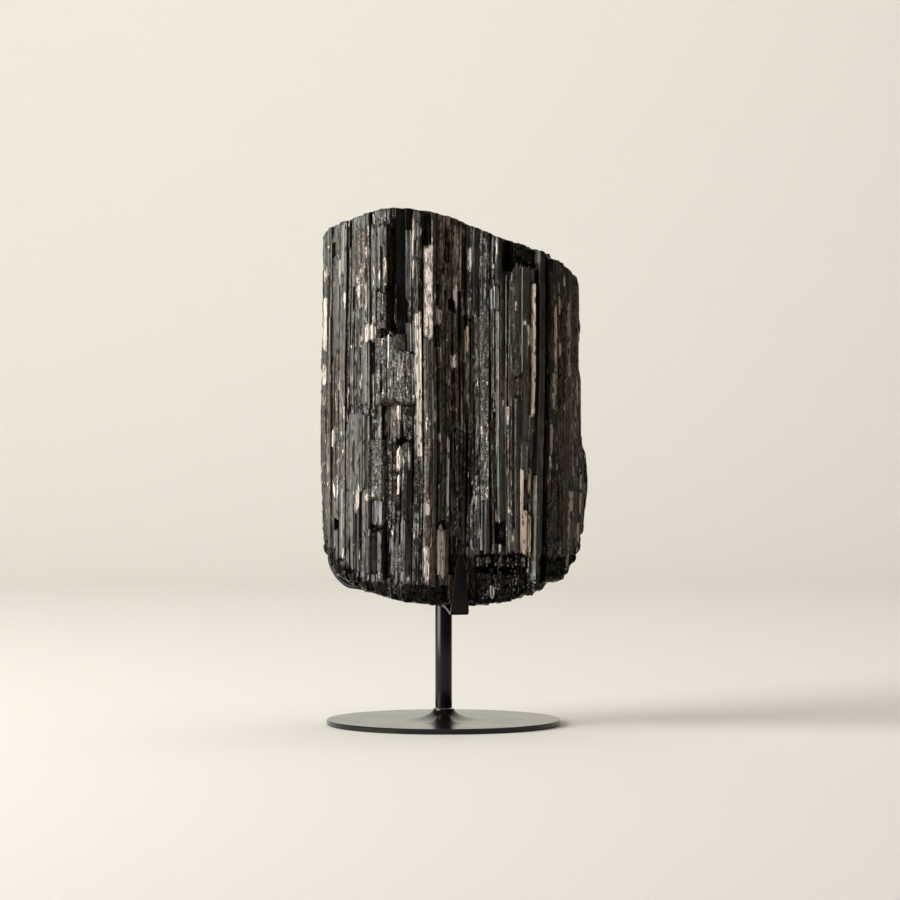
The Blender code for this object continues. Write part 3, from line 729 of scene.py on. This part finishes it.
class Ends:
    """One broken end of the log: flat crystal ends, each round a seed, with its own height and tilt. Seeds
    are a pitch apart, the outermost just inside the rim, and ends rise above or drop below the base."""

    def __init__(self, base, pitch, rim_depth, rise, drop, tilt, seed):
        draw = random.Random(seed)
        middles = (column_starts + column_ends) / 2 % girth
        seeds = [tuple(point * (1 - rim_depth / np.linalg.norm(point))) for point in on_outline(middles)]
        rim_count = len(seeds)
        for gy in range(-9, 10):
            for gx in range(-12, 13):
                x = (gx + 0.5 * (gy % 2)) * pitch + draw.uniform(-0.3, 0.3) * pitch
                y = gy * pitch * 0.87 + draw.uniform(-0.3, 0.3) * pitch
                if inside(np.array([[x, y]]), ring * 0.92)[0]:
                    seeds.append((x, y))
        self.seeds = np.array(seeds)
        self.height = np.array([draw.uniform(-drop, rise) for _ in seeds])
        self.tilt = np.array([(draw.uniform(-tilt, tilt), draw.uniform(-tilt, tilt)) for _ in seeds])
        # The ends round the rim are more even, as the edge tables give their heights
        self.height[:rim_count] *= 0.2
        self.tilt[:rim_count] *= 0.35
        self.base = base

    def heights(self, points):
        """The height of the broken end at these points."""
        cell = ((points[:, None, :] - self.seeds[None, :, :]) ** 2).sum(axis=2).argmin(axis=1)
        lean = ((points - self.seeds[cell]) * self.tilt[cell]).sum(axis=1)
        base = self.base(*(self.seeds[cell] * 0.4 + points * 0.6).T)
        return base + self.height[cell] + lean

    def borders(self, spacing):
        """Points in pairs along both sides of the borders between crystal ends."""
        flat = [Vector(seed) for seed in self.seeds]
        _, _, triangles, _, _, _ = delaunay_2d_cdt(flat, [], [], 0, 1e-6)
        centres, beside = [], {}
        for number, (a, b, c) in enumerate(triangles):
            pa, pb, pc = self.seeds[a], self.seeds[b], self.seeds[c]
            (bx, by), (cx, cy) = pb - pa, pc - pa
            sb, sc = bx * bx + by * by, cx * cx + cy * cy
            offset = np.array([cy * sb - by * sc, bx * sc - cx * sb]) / (2 * (bx * cy - by * cx))
            centres.append(pa + offset)
            for pair in ((a, b), (b, c), (c, a)):
                beside.setdefault(tuple(sorted(pair)), []).append(number)
        found = []
        for (a, b), numbers in sorted(beside.items()):
            if len(numbers) < 2:
                continue
            start, end = centres[numbers[0]], centres[numbers[1]]
            length = min(np.linalg.norm(end - start), 60)
            count = max(int(length / spacing), 1)
            side = (self.seeds[b] - self.seeds[a]) / np.linalg.norm(self.seeds[b] - self.seeds[a]) * 0.13
            for k in range(count):
                point = start + (end - start) * (k + 0.5) / count
                found += [point - side, point + side]
        return np.array(found)


def inside(points, polygon):
    """Which points are inside a closed polygon."""
    x, y = points[:, 0][:, None], points[:, 1][:, None]
    x0, y0 = polygon[:, 0][None, :], polygon[:, 1][None, :]
    x1, y1 = np.roll(polygon[:, 0], -1)[None, :], np.roll(polygon[:, 1], -1)[None, :]
    rise = np.where(y1 == y0, 1e-9, y1 - y0)
    crossing = ((y0 > y) != (y1 > y)) & (x < x0 + (x1 - x0) * (y - y0) / rise)
    return crossing.sum(axis=1) % 2 == 1


top_ends = Ends(top_height, pitch=8.5, rim_depth=3.0, rise=0.0, drop=2.8, tilt=0.1, seed=61)
bottom_ends = Ends(bottom_height, pitch=12, rim_depth=3.5, rise=2.4, drop=0.6, tilt=0.12, seed=62)

# Heights of the points up each row: closer at the foot, and two together at a patch's end, to be sharp
rim_top = top_ends.heights(place + outward * stand_out[:, None])
height = np.empty((rows, RINGS))
for i in range(rows):
    low, high = row_bottom[i], rim_top[i]
    even = np.interp(np.arange(RINGS), (0, CLOSE_RINGS, RINGS - 1), (low, low + CLOSE_REACH, high))
    anchors, moves, last_ring, last_cut = [0], [0], 0, low
    for cut in sorted(breaks[i]):
        k = int(np.searchsorted(even, cut)) - 1
        if k <= last_ring + 1 or k >= RINGS - 3 or cut - last_cut < 0.9:
            continue
        anchors += [k, k + 1]
        moves += [cut - EDGE_HEIGHT / 2 - even[k], cut + EDGE_HEIGHT / 2 - even[k + 1]]
        last_ring, last_cut = k + 1, cut
    height[i] = even + np.interp(np.arange(RINGS), anchors + [RINGS - 1], moves + [0])

# How far each point stands out, and what its face is
slat_out = np.zeros((rows, RINGS))
patch_out = np.zeros((rows, RINGS))
calm = np.zeros((rows, RINGS))
traits = np.empty((rows, RINGS, 6))
traits[:] = np.array([FACES[columns[c][3]] for c in column_of])[:, None, :]
for number, (first, last, _, _, left, right, face, _) in enumerate(patches):
    lows, highs = patch_ends[number]
    covered = height[first:last]
    within = (covered > lows[:, None]) & (covered < highs[:, None])
    span = reach[first:last]
    share = (span - span[0]) / max(span[-1] - span[0], 0.5)
    if number < slat_count:
        slat_out[first:last] += within * (left + (right - left) * share)[:, None]
    else:
        patch_out[first:last] += within * (left + (right - left) * share)[:, None]
        calm[first:last][within] = CALM.get(face, MOST_CALM)
    if face:
        traits[first:last][within] = FACES[face]
fibre, grain, mica, tone, stain, satin = (traits[..., k] for k in range(6))
out = stand_out[:, None] + slat_out * (1 - calm) + patch_out

way_round = np.repeat(reach[:, None], RINGS, axis=1)
bottom_gap = height - row_bottom[:, None]
top_gap = rim_top[:, None] - height
crumble = np.clip(1 - bottom_gap / CRUMBLE_HEIGHT, 0, 1)
grain = np.clip(grain + crumble * 1.2, 0, 1)
satin = satin * (1 - crumble)
stain = stain * (1 - 0.7 * crumble)


def around(pitch):
    """How many whole steps of about this pitch go round the log, and the way round it in those steps."""
    count = round(girth / pitch)
    return count, way_round * count / girth


# Etched zones cut across the columns
count, turns = around(13)
zone = np.clip(2.0 * waves(turns, height / 34, 90, count) - 0.9, 0, 1)
grain = np.maximum(grain, zone * (mica < 0.5) * (satin > 0.5))
# Grooves run along the crystals, deepest on fibrous faces: (width, length, depth, share on all, seed)
for width, length, depth, least, seed in ((1.25, 60, 0.14, 0.3, 71), (3.4, 90, 0.22, 0.2, 72)):
    count, turns = around(width)
    out += depth * (least + fibre) * waves(turns, height / length, seed, count)
# The sides and the back swell and sink in broad waves
count, turns = around(26)
out += 0.7 * waves(turns, height / 80, 73, count) * (way_round > front_reach)
# Grainy faces are chipped in two sizes: (width, height, depth, seed)
for width, length, depth, seed in ((2.4, 3.4, 0.26, 74), (5.2, 6.0, 0.28, 78)):
    count, turns = around(width)
    out += depth * grain * chips(turns, height / length, seed, count)
# The foot is broken into lumps with wavy borders
count, turns = around(6.4)
wavy = turns + 0.15 * waves(turns * 2, height / 5, 79, 2 * count)
out += 1.5 * crumble * chips(wavy, height / 5.2, 80, count)
# Flakes of mica are worn
out -= 0.1 * mica * (1 + waves(way_round / 0.9, height / 7, 84))
# A point is hollow where it lies below the level of those around it, and is darkened there as painted
# shade, less on mica
level_across = sum(np.roll(out, k, axis=0) for k in range(-4, 5)) / 9
padded = np.pad(out, ((0, 0), (3, 3)), mode="edge")
level_along = sum(padded[:, k:k + RINGS] for k in range(7)) / 7
hollow = np.clip((np.maximum(level_across, level_along) - out - 0.12) / 0.8, 0, 1) * (1 - 0.8 * mica)
# At the far left and right the columns, which stand out 0.9 and 1.3 mm, move to the edge tables' places
out += spur[:, None] * (read_table(RIGHT_EDGE, height + spur_shift[:, None]) - place[:, 0].max() - 1.3)
out += left_end[:, None] * (place[:, 0].min() - 0.9 - read_table(LEFT_EDGE, height))
# The foot rolls under in a quarter circle, and the top's rim is worn
roll = np.clip(1 - bottom_gap / FOOT_ROUND_HEIGHT, 0, 1)
out -= FOOT_ROUND_DEPTH * (1 - np.sqrt(1 - roll ** 2 * 0.98))
out -= TOP_ROUND_DEPTH * np.clip(1 - top_gap / TOP_ROUND_HEIGHT, 0, 1) ** 2

# Columns lean a little, so they are not quite parallel
along_front = np.where(reach < front_reach, place[:, 0], LEAN[-1][0])
upper = np.clip((height - MIDDLE_HEIGHT) / LEAN_UP, 0, 1)
lower = np.clip((MIDDLE_HEIGHT - height) / LEAN_DOWN, 0, 1)
lean_top, lean_foot = (read_table(LEAN, along_front, column)[:, None] for column in (1, 2))
lean = lean_top * upper + lean_foot * lower
count, turns = around(38)
lean = lean + 0.7 * waves(turns, height / 90, 95, count)
side = np.stack([
    place[:, None, 0] + outward[:, None, 0] * out,
    place[:, None, 1] + outward[:, None, 1] * out,
    height,
], axis=2)
side[..., :2] += tangent[:, None, :] * lean[..., None]
# Nothing of it reaches past its rough size
lowest, highest = (np.array(corner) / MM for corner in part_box("tourmaline"))
side = np.clip(side, lowest + 0.1, highest - 0.1)


def apart(points, others, distance):
    """Which points are at least this far from all the others."""
    return ((points[:, None, :] - others[None, :, :]) ** 2).sum(axis=2).min(axis=1) > distance ** 2


def close_end(ends, loop, spacing, fill, chip_height, seed):
    """Points and faces that close one end: the loop's own points come first."""
    border = ends.borders(spacing)
    steps = (np.arange(start, end, fill) for start, end in zip(ring.min(axis=0), ring.max(axis=0)))
    grid = np.stack(np.meshgrid(*steps, indexing="ij"), axis=2).reshape(-1, 2)
    index = np.arange(len(grid))
    grid = grid + 0.6 * fill * np.stack([scatter(index, axis, seed) - 0.5 for axis in (1, 2)], axis=1)
    points = np.vstack([border, grid[apart(grid, border, 0.7)]])
    points = points[inside(points, loop)]
    points = points[apart(points, loop, 0.55)]
    flat = [Vector(p) for p in np.vstack([loop, points])]
    count = len(loop)
    edges = [(i, (i + 1) % count) for i in range(count)]
    found, _, faces, origins, _, _ = delaunay_2d_cdt(flat, edges, [], 1, 1e-7)
    where = np.array([tuple(p) for p in found])
    z = ends.heights(where)
    z = z + chip_height * chips(where[:, 0] / 3.1, where[:, 1] / 3.1, seed + 3)
    z = z + 0.45 * chip_height * chips(where[:, 0] / 1.7, where[:, 1] / 1.7, seed + 9)
    return where, z, faces, [origin[0] if origin else -1 for origin in origins], count


points = [side.reshape(-1, 3)]
for axis in (0, 1):
    mica = (np.roll(mica, 1, axis=axis) + 2 * mica + np.roll(mica, -1, axis=axis)) / 4
values = [np.stack([fibre, grain, mica, tone, stain, satin, hollow], axis=2).reshape(-1, len(TRAITS))]
index = np.arange(rows * RINGS).reshape(rows, RINGS)
beside = np.roll(index, -1, axis=0)
quads = np.stack([index[:, :-1], beside[:, :-1], beside[:, 1:], index[:, 1:]], axis=2).reshape(-1, 4)
faces = quads.tolist()
total = rows * RINGS
for ends, ring_number, spacing, fill, chip_height, seed in (
    (top_ends, RINGS - 1, 1.7, 2.3, 0.34, 101), (bottom_ends, 0, 3.0, 3.4, 0.8, 121),
):
    loop = side[:, ring_number, :2]
    where, z, cap_faces, origins, count = close_end(ends, loop, spacing, fill, chip_height, seed)
    numbers = {}
    extra = []
    for k, origin in enumerate(origins):
        if 0 <= origin < count:
            numbers[k] = int(index[origin, ring_number])
        else:
            numbers[k] = total + len(extra)
            extra.append((where[k, 0], where[k, 1], z[k]))
    points.append(np.array(extra))
    values.append(np.tile((*FACES["snapped"], 0.0), (len(extra), 1)))
    total += len(extra)
    for face in cap_faces:
        corners = [numbers[k] for k in face]
        faces.append(corners if ring_number else corners[::-1])

points = np.vstack(points)
values = np.vstack(values)

# The stone seats in the cradle: what of it comes closer than the gap to a prong or the hub, or within the
# margin beside one, is pushed back
SEAT_GAP = 0.35
PRONG_MARGIN = 0.7
HUB_MARGIN = 0.8
for prong_name, (bearing, knots) in PRONGS.items():
    path = prong_path(knots)
    widths = np.array(prong_widths(path)) / MM
    track = np.array([(p.x, p.z) for p in path]) / MM
    turn = math.radians(bearing - 90)
    radial = points[:, 0] * math.cos(turn) + points[:, 1] * math.sin(turn)
    aside = -points[:, 0] * math.sin(turn) + points[:, 1] * math.cos(turn)
    near = np.nonzero((abs(aside) < 8) & (radial > 8) & (points[:, 2] < track[-1, 1] + 1))[0]
    spans = np.diff(track, axis=0)
    inward = np.stack([-spans[:, 1], spans[:, 0]], axis=1) / np.linalg.norm(spans, axis=1)[:, None]
    clearance = PRONG_THICKNESS / MM + SEAT_GAP
    for k in near:
        spot = np.array([radial[k], points[k, 2]])
        share = np.clip(((spot - track[:-1]) * spans).sum(axis=1) / (spans ** 2).sum(axis=1), 0, 1)
        closest = track[:-1] + spans * share[:, None]
        best = ((spot - closest) ** 2).sum(axis=1).argmin()
        beside = abs(aside[k]) > widths[best] / 2 + PRONG_MARGIN
        if not beside and (spot - closest[best]) @ inward[best] < clearance:
            out, up = closest[best] + inward[best] * clearance
            points[k] = (
                out * math.cos(turn) - aside[k] * math.sin(turn),
                out * math.sin(turn) + aside[k] * math.cos(turn),
                up,
            )
hub_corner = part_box("cradle_hub")[1] / MM
on_hub = np.hypot(points[:, 0], points[:, 1]) < hub_corner.x + HUB_MARGIN
points[on_hub, 2] = np.maximum(points[on_hub, 2], hub_corner.z + SEAT_GAP)

stone_mesh = bpy.data.meshes.new("tourmaline_log")
stone_mesh.from_pydata((points * MM).tolist(), [], faces)
for k, trait in enumerate(TRAITS):
    attribute = stone_mesh.attributes.new(trait, "FLOAT", "POINT")
    attribute.data.foreach_set("value", values[:, k].astype(np.float32))
stone = bpy.data.objects.new("tourmaline_log", stone_mesh)
bpy.context.scene.collection.objects.link(stone)
fresh_start()
bpy.context.view_layer.objects.active = stone
stone.select_set(True)
# Edges that bend more than this stay sharp on the stone
bpy.ops.object.shade_smooth_by_angle(angle=math.radians(24))


def schorl():
    """Black tourmaline: glassy, almost opaque, black with a trace of brown, IOR about 1.64. Its faces carry
    fine grooves along the crystals, rough where etched. Mica is cream to tan, and iron stains brown."""
    material, shader, add = new_material("natural_black_tourmaline")
    position = add("TexCoord").outputs["Object"]
    trait = {name: add("Attribute", attribute_name=name).outputs["Fac"] for name in TRAITS}

    def noise_along(width, length, detail=2.0, rough=0.55):
        """Noise of this width, in millimetres, drawn out to this length up the crystals."""
        stretch = add("Mapping", {"Vector": position, "Scale": (1, 1, width / length)})
        return add("TexNoise", {"Vector": stretch, "Scale": 1 / (width * MM), "Detail": detail,
                                "Roughness": rough})

    sway = add("TexNoise", {"Vector": position, "Scale": 1 / (5 * MM), "Detail": 3.0}).outputs["Color"]
    swayed = add("VectorMath", (sway, (1.8 * MM,) * 3, position), operation="MULTIPLY_ADD")

    def splinters(width, length, feature="F1"):
        """Cells of this width, in millimetres, drawn out to this length up the crystals."""
        stretch = add("Mapping", {"Vector": swayed, "Scale": (1, 1, width / length)})
        return add("TexVoronoi", {"Vector": stretch, "Scale": 1 / (width * MM)}, feature=feature)

    def line(pattern, core, width):
        """1 along the line where a noise crosses its middle value, fading out on both sides."""
        above = add("Math", (pattern, 0.5), operation="SUBTRACT")
        away = add("Math", (above,), operation="ABSOLUTE")
        return add("MapRange", (away, core, width, 1.0, 0.0))

    fine = noise_along(0.5, 30, 3.0)
    broad = noise_along(3.2, 60, 4.0)
    cloud = noise_along(9, 9, 4.0)
    slivers = splinters(1.3, 11)
    sliver_lot = add("SeparateColor", (slivers.outputs["Color"],)).outputs
    sliver_border = splinters(1.3, 11, "DISTANCE_TO_EDGE")
    borders = add("MapRange", (sliver_border, 0.02, 0.16, 1.0, 0.0))
    net = add("MapRange", (splinters(2.4, 2.6, "DISTANCE_TO_EDGE"), 0.02, 0.12, 1.0, 0.0))
    # Pits are etched into all but the smoothest faces
    pit_lot = add("SeparateColor", (splinters(0.8, 3.6).outputs["Color"],)).outputs["Red"]
    pits = add("Math", (cloud, 0.5, pit_lot), operation="MULTIPLY_ADD")
    pits = add("Math", (pits, 1.14), operation="GREATER_THAN")
    # Dark: hairline gaps between fibres, the net of cracks in etched places, borders between splinters,
    # painted shade in hollows, and pits, each with how much it shows
    dark = 0.0
    for mark, share in (
        (line(noise_along(1.6, 60, 3.0), 0.0, 0.035), 0.8), (net, trait["grain"]),
        (borders, trait["fibre"]), (trait["hollow"], 0.95),
        (pits, add("MapRange", (trait["satin"], 0.75, 1.0, 0.0, 0.85))),
    ):
        dark = add("Math", (dark, add("Math", (mark, share), operation="MULTIPLY")), operation="MAXIMUM")

    # Mica keeps its flake's outline, eaten into by the noise so that its edges are ragged
    uneaten = add("Math", (noise_along(1.3, 5, 4.0, 0.7), -1.1, trait["mica"]), operation="MULTIPLY_ADD")
    plates = add("MapRange", (uneaten, 0.0, 1 / 7))
    # Small flecks of it lie among the splinters in clusters
    busy = add("Math", (trait["fibre"], trait["grain"]), operation="MAXIMUM")
    busy = add("Math", (busy, trait["satin"]), operation="MULTIPLY")
    cluster = add("MapRange", (cloud, 0.44, 0.44 + 1 / 1.1))
    flecks = add("Math", (busy, cluster, sliver_lot["Green"]), operation="MULTIPLY_ADD")
    flecks = add("Math", (flecks, 1.0), operation="GREATER_THAN")
    flecks = add("Math", (flecks, add("MapRange", (sliver_border, 0.02, 0.16))), operation="MULTIPLY")
    # Thin threads of it fill seams between crystals, broken along their length
    broken = add("MapRange", (noise_along(1.0, 6, 3.0), 0.44, 0.5))
    for share in (cluster, busy):
        broken = add("Math", (broken, share), operation="MULTIPLY")
    seam = line(noise_along(4.5, 160, 1.0), 0.01, 0.024)
    threads = add("Math", (seam, add("MapRange", (broken, 0.0, 1 / 6))), operation="MULTIPLY")
    flake = add("Math", (plates, flecks), operation="MAXIMUM")
    flake = add("Math", (flake, threads), operation="MAXIMUM")

    # The black is browner where the crystals are etched, in streaks and splinters
    tint = 0.0
    for pattern, share in ((broad, 0.6), (sliver_lot["Red"], 0.25), (fine, 0.25)):
        tint = add("Math", (pattern, share, tint), operation="MULTIPLY_ADD")
    tint = add("Math", (tint, trait["satin"]), operation="MULTIPLY")
    black, rust, cream, tan = (add("ValToRGB", (pattern,)) for pattern in (tint, fine, fine, fine))
    set_ramp(black, ((0.05, "#0a0a07"), (0.6, "#3b372b")))
    set_ramp(rust, ((0.32, "#211812"), (0.66, "#75604e")))
    set_ramp(cream, ((0.25, "#9b9085"), (0.6, "#d8ccc1")))
    set_ramp(tan, ((0.25, "#6b594a"), (0.6, "#cab29b")))
    pale = add("Mix", {"Factor": trait["tone"], "A": cream, "B": tan}, data_type="RGBA")
    rusted = add("Math", (trait["stain"], broad), operation="MULTIPLY")
    rusted = add("MapRange", (rusted, 0.0, 1 / 1.8))
    # Rust lies over the black, flakes of mica over both, and the dark marks with the painted shade of
    # hollows over all
    colour = black
    for share, over in ((rusted, rust), (flake, pale), (dark, linear("#050505"))):
        colour = add("Mix", {"Factor": share, "A": colour, "B": over}, data_type="RGBA")

    # Loose crumbs are grainy and unpolished and mirror less. The dark marks, painted shade of hollows among
    # them, mirror less too.
    matt = add("Math", (1.0, trait["satin"]), operation="SUBTRACT")
    loose = add("Math", (trait["grain"], matt), operation="MULTIPLY")
    crumb_gloss = add("Math", (loose, -0.36, 0.5), operation="MULTIPLY_ADD")
    light = add("Math", (dark, -0.9, 1.0), operation="MULTIPLY_ADD")
    gloss = add("Math", (crumb_gloss, light), operation="MULTIPLY")
    glassy = add("MapRange", (cloud, 0.3, 0.7, 0.12, 0.22))
    rough = add("Math", (trait["satin"], 0.34, glassy), operation="MULTIPLY_ADD")
    rough = add("Mix", {"Factor": flake, "A": rough, "B": 0.5})

    # Splinters, crumbs and lumps are flat facets, each turned a little by chance
    normal = add("NewGeometry").outputs["Normal"]
    for cells, share, most in (
        (slivers, trait["fibre"], 0.4), (splinters(1.1, 1.3), trait["grain"], 0.2),
        (splinters(3.4, 2.8), loose, 0.8),
    ):
        lean = add("VectorMath", (cells.outputs["Color"], (0.5,) * 3), operation="SUBTRACT")
        amount = add("Math", (share, most), operation="MULTIPLY")
        turned = add("VectorMath", (lean, amount, normal), operation="MULTIPLY_ADD")
        normal = add("VectorMath", (turned,), operation="NORMALIZE")
    grooves = add("Bump", {"Height": fine, "Strength": 0.5, "Distance": 0.14 * MM, "Normal": normal})
    feed(shader, {"Base Color": colour, "Roughness": rough, "Specular IOR Level": gloss, "Normal": grooves,
                  "IOR": 1.64})
    return material


finish_piece("tourmaline_log", schorl(), "tourmaline")

# ------------------------------------------------
# Studio. A pale floor that curves up into a backdrop, a large soft window-like light on the left, and the
# camera at eye level with the stone.
# ------------------------------------------------
FLOOR_SIZE = (9, 5.2, 1)
FLOOR_CENTRE = (0, 0.4, 0)
BACKDROP_HEIGHT = 3.2
SWEEP_RADIUS = 1.2
fresh_start()
bpy.ops.mesh.primitive_plane_add(size=1)
floor = bpy.context.object
floor.name = "studio_floor"
bpy.ops.object.mode_set(mode="EDIT")
bpy.ops.mesh.select_all(action="SELECT")
bpy.ops.transform.resize(value=FLOOR_SIZE, center_override=(0, 0, 0))
bpy.ops.transform.translate(value=FLOOR_CENTRE)
bpy.ops.mesh.select_all(action="DESELECT")
bpy.ops.mesh.select_mode(type="EDGE")
bpy.ops.object.mode_set(mode="OBJECT")
for edge in floor.data.edges:
    edge.select = all(floor.data.vertices[i].co.y > FLOOR_CENTRE[1] for i in edge.vertices)
bpy.ops.object.mode_set(mode="EDIT")
bpy.ops.mesh.extrude_region_move(TRANSFORM_OT_translate={"value": (0, 0, BACKDROP_HEIGHT)})
bpy.ops.object.mode_set(mode="OBJECT")
curve = floor.modifiers.new("Sweep", "BEVEL")
curve.width = SWEEP_RADIUS
curve.segments = 24
for polygon in floor.data.polygons:
    polygon.use_smooth = True
paper, shader, _ = new_material("matt_warm_paper")
feed(shader, {"Base Color": linear("#e8e4dc"), "Roughness": 0.9})
floor.data.materials.append(paper)

world = bpy.data.worlds.new("soft_room")
world.use_nodes = True
feed(world.node_tree.nodes["Background"], {"Color": linear("#dfd3bf"), "Strength": 0.055})
bpy.context.scene.world = world

# Soft daylight: (name, place, what it aims at, size, power), in metres and watts
for name, lamp_place, aim, size, power in (
    ("window", (-2.4, -0.9, 0.9), (0, 0, 0.2), (2.2, 2.2), 165),
    ("ceiling", (0.3, 0.5, 2.6), (0, 0.5, 0), (3.0, 3.0), 28),
    ("wall_wash", (0.4, 0.9, 2.9), (0, 3.0, 0.8), (3.0, 0.8), 20),
):
    light = bpy.data.lights.new(name, "AREA")
    light.shape = "RECTANGLE"
    light.size, light.size_y = size
    light.energy = power
    light.color = linear("#fffdfa")[:3]
    lamp = bpy.data.objects.new(name, light)
    lamp.location = lamp_place
    lamp.rotation_euler = (Vector(aim) - Vector(lamp_place)).to_track_quat("-Z", "Y").to_euler()
    bpy.context.scene.collection.objects.link(lamp)

camera_data = bpy.data.cameras.new("camera")
camera_data.lens = 149.8
camera_data.sensor_width = 36
camera = bpy.data.objects.new("camera", camera_data)
camera.location = (0.0041, -2.4, 0.2095)
camera.rotation_euler = (math.radians(90 - 0.8), 0, 0)
bpy.context.scene.collection.objects.link(camera)
bpy.context.scene.camera = camera
bpy.context.scene.view_settings.view_transform = "Standard"
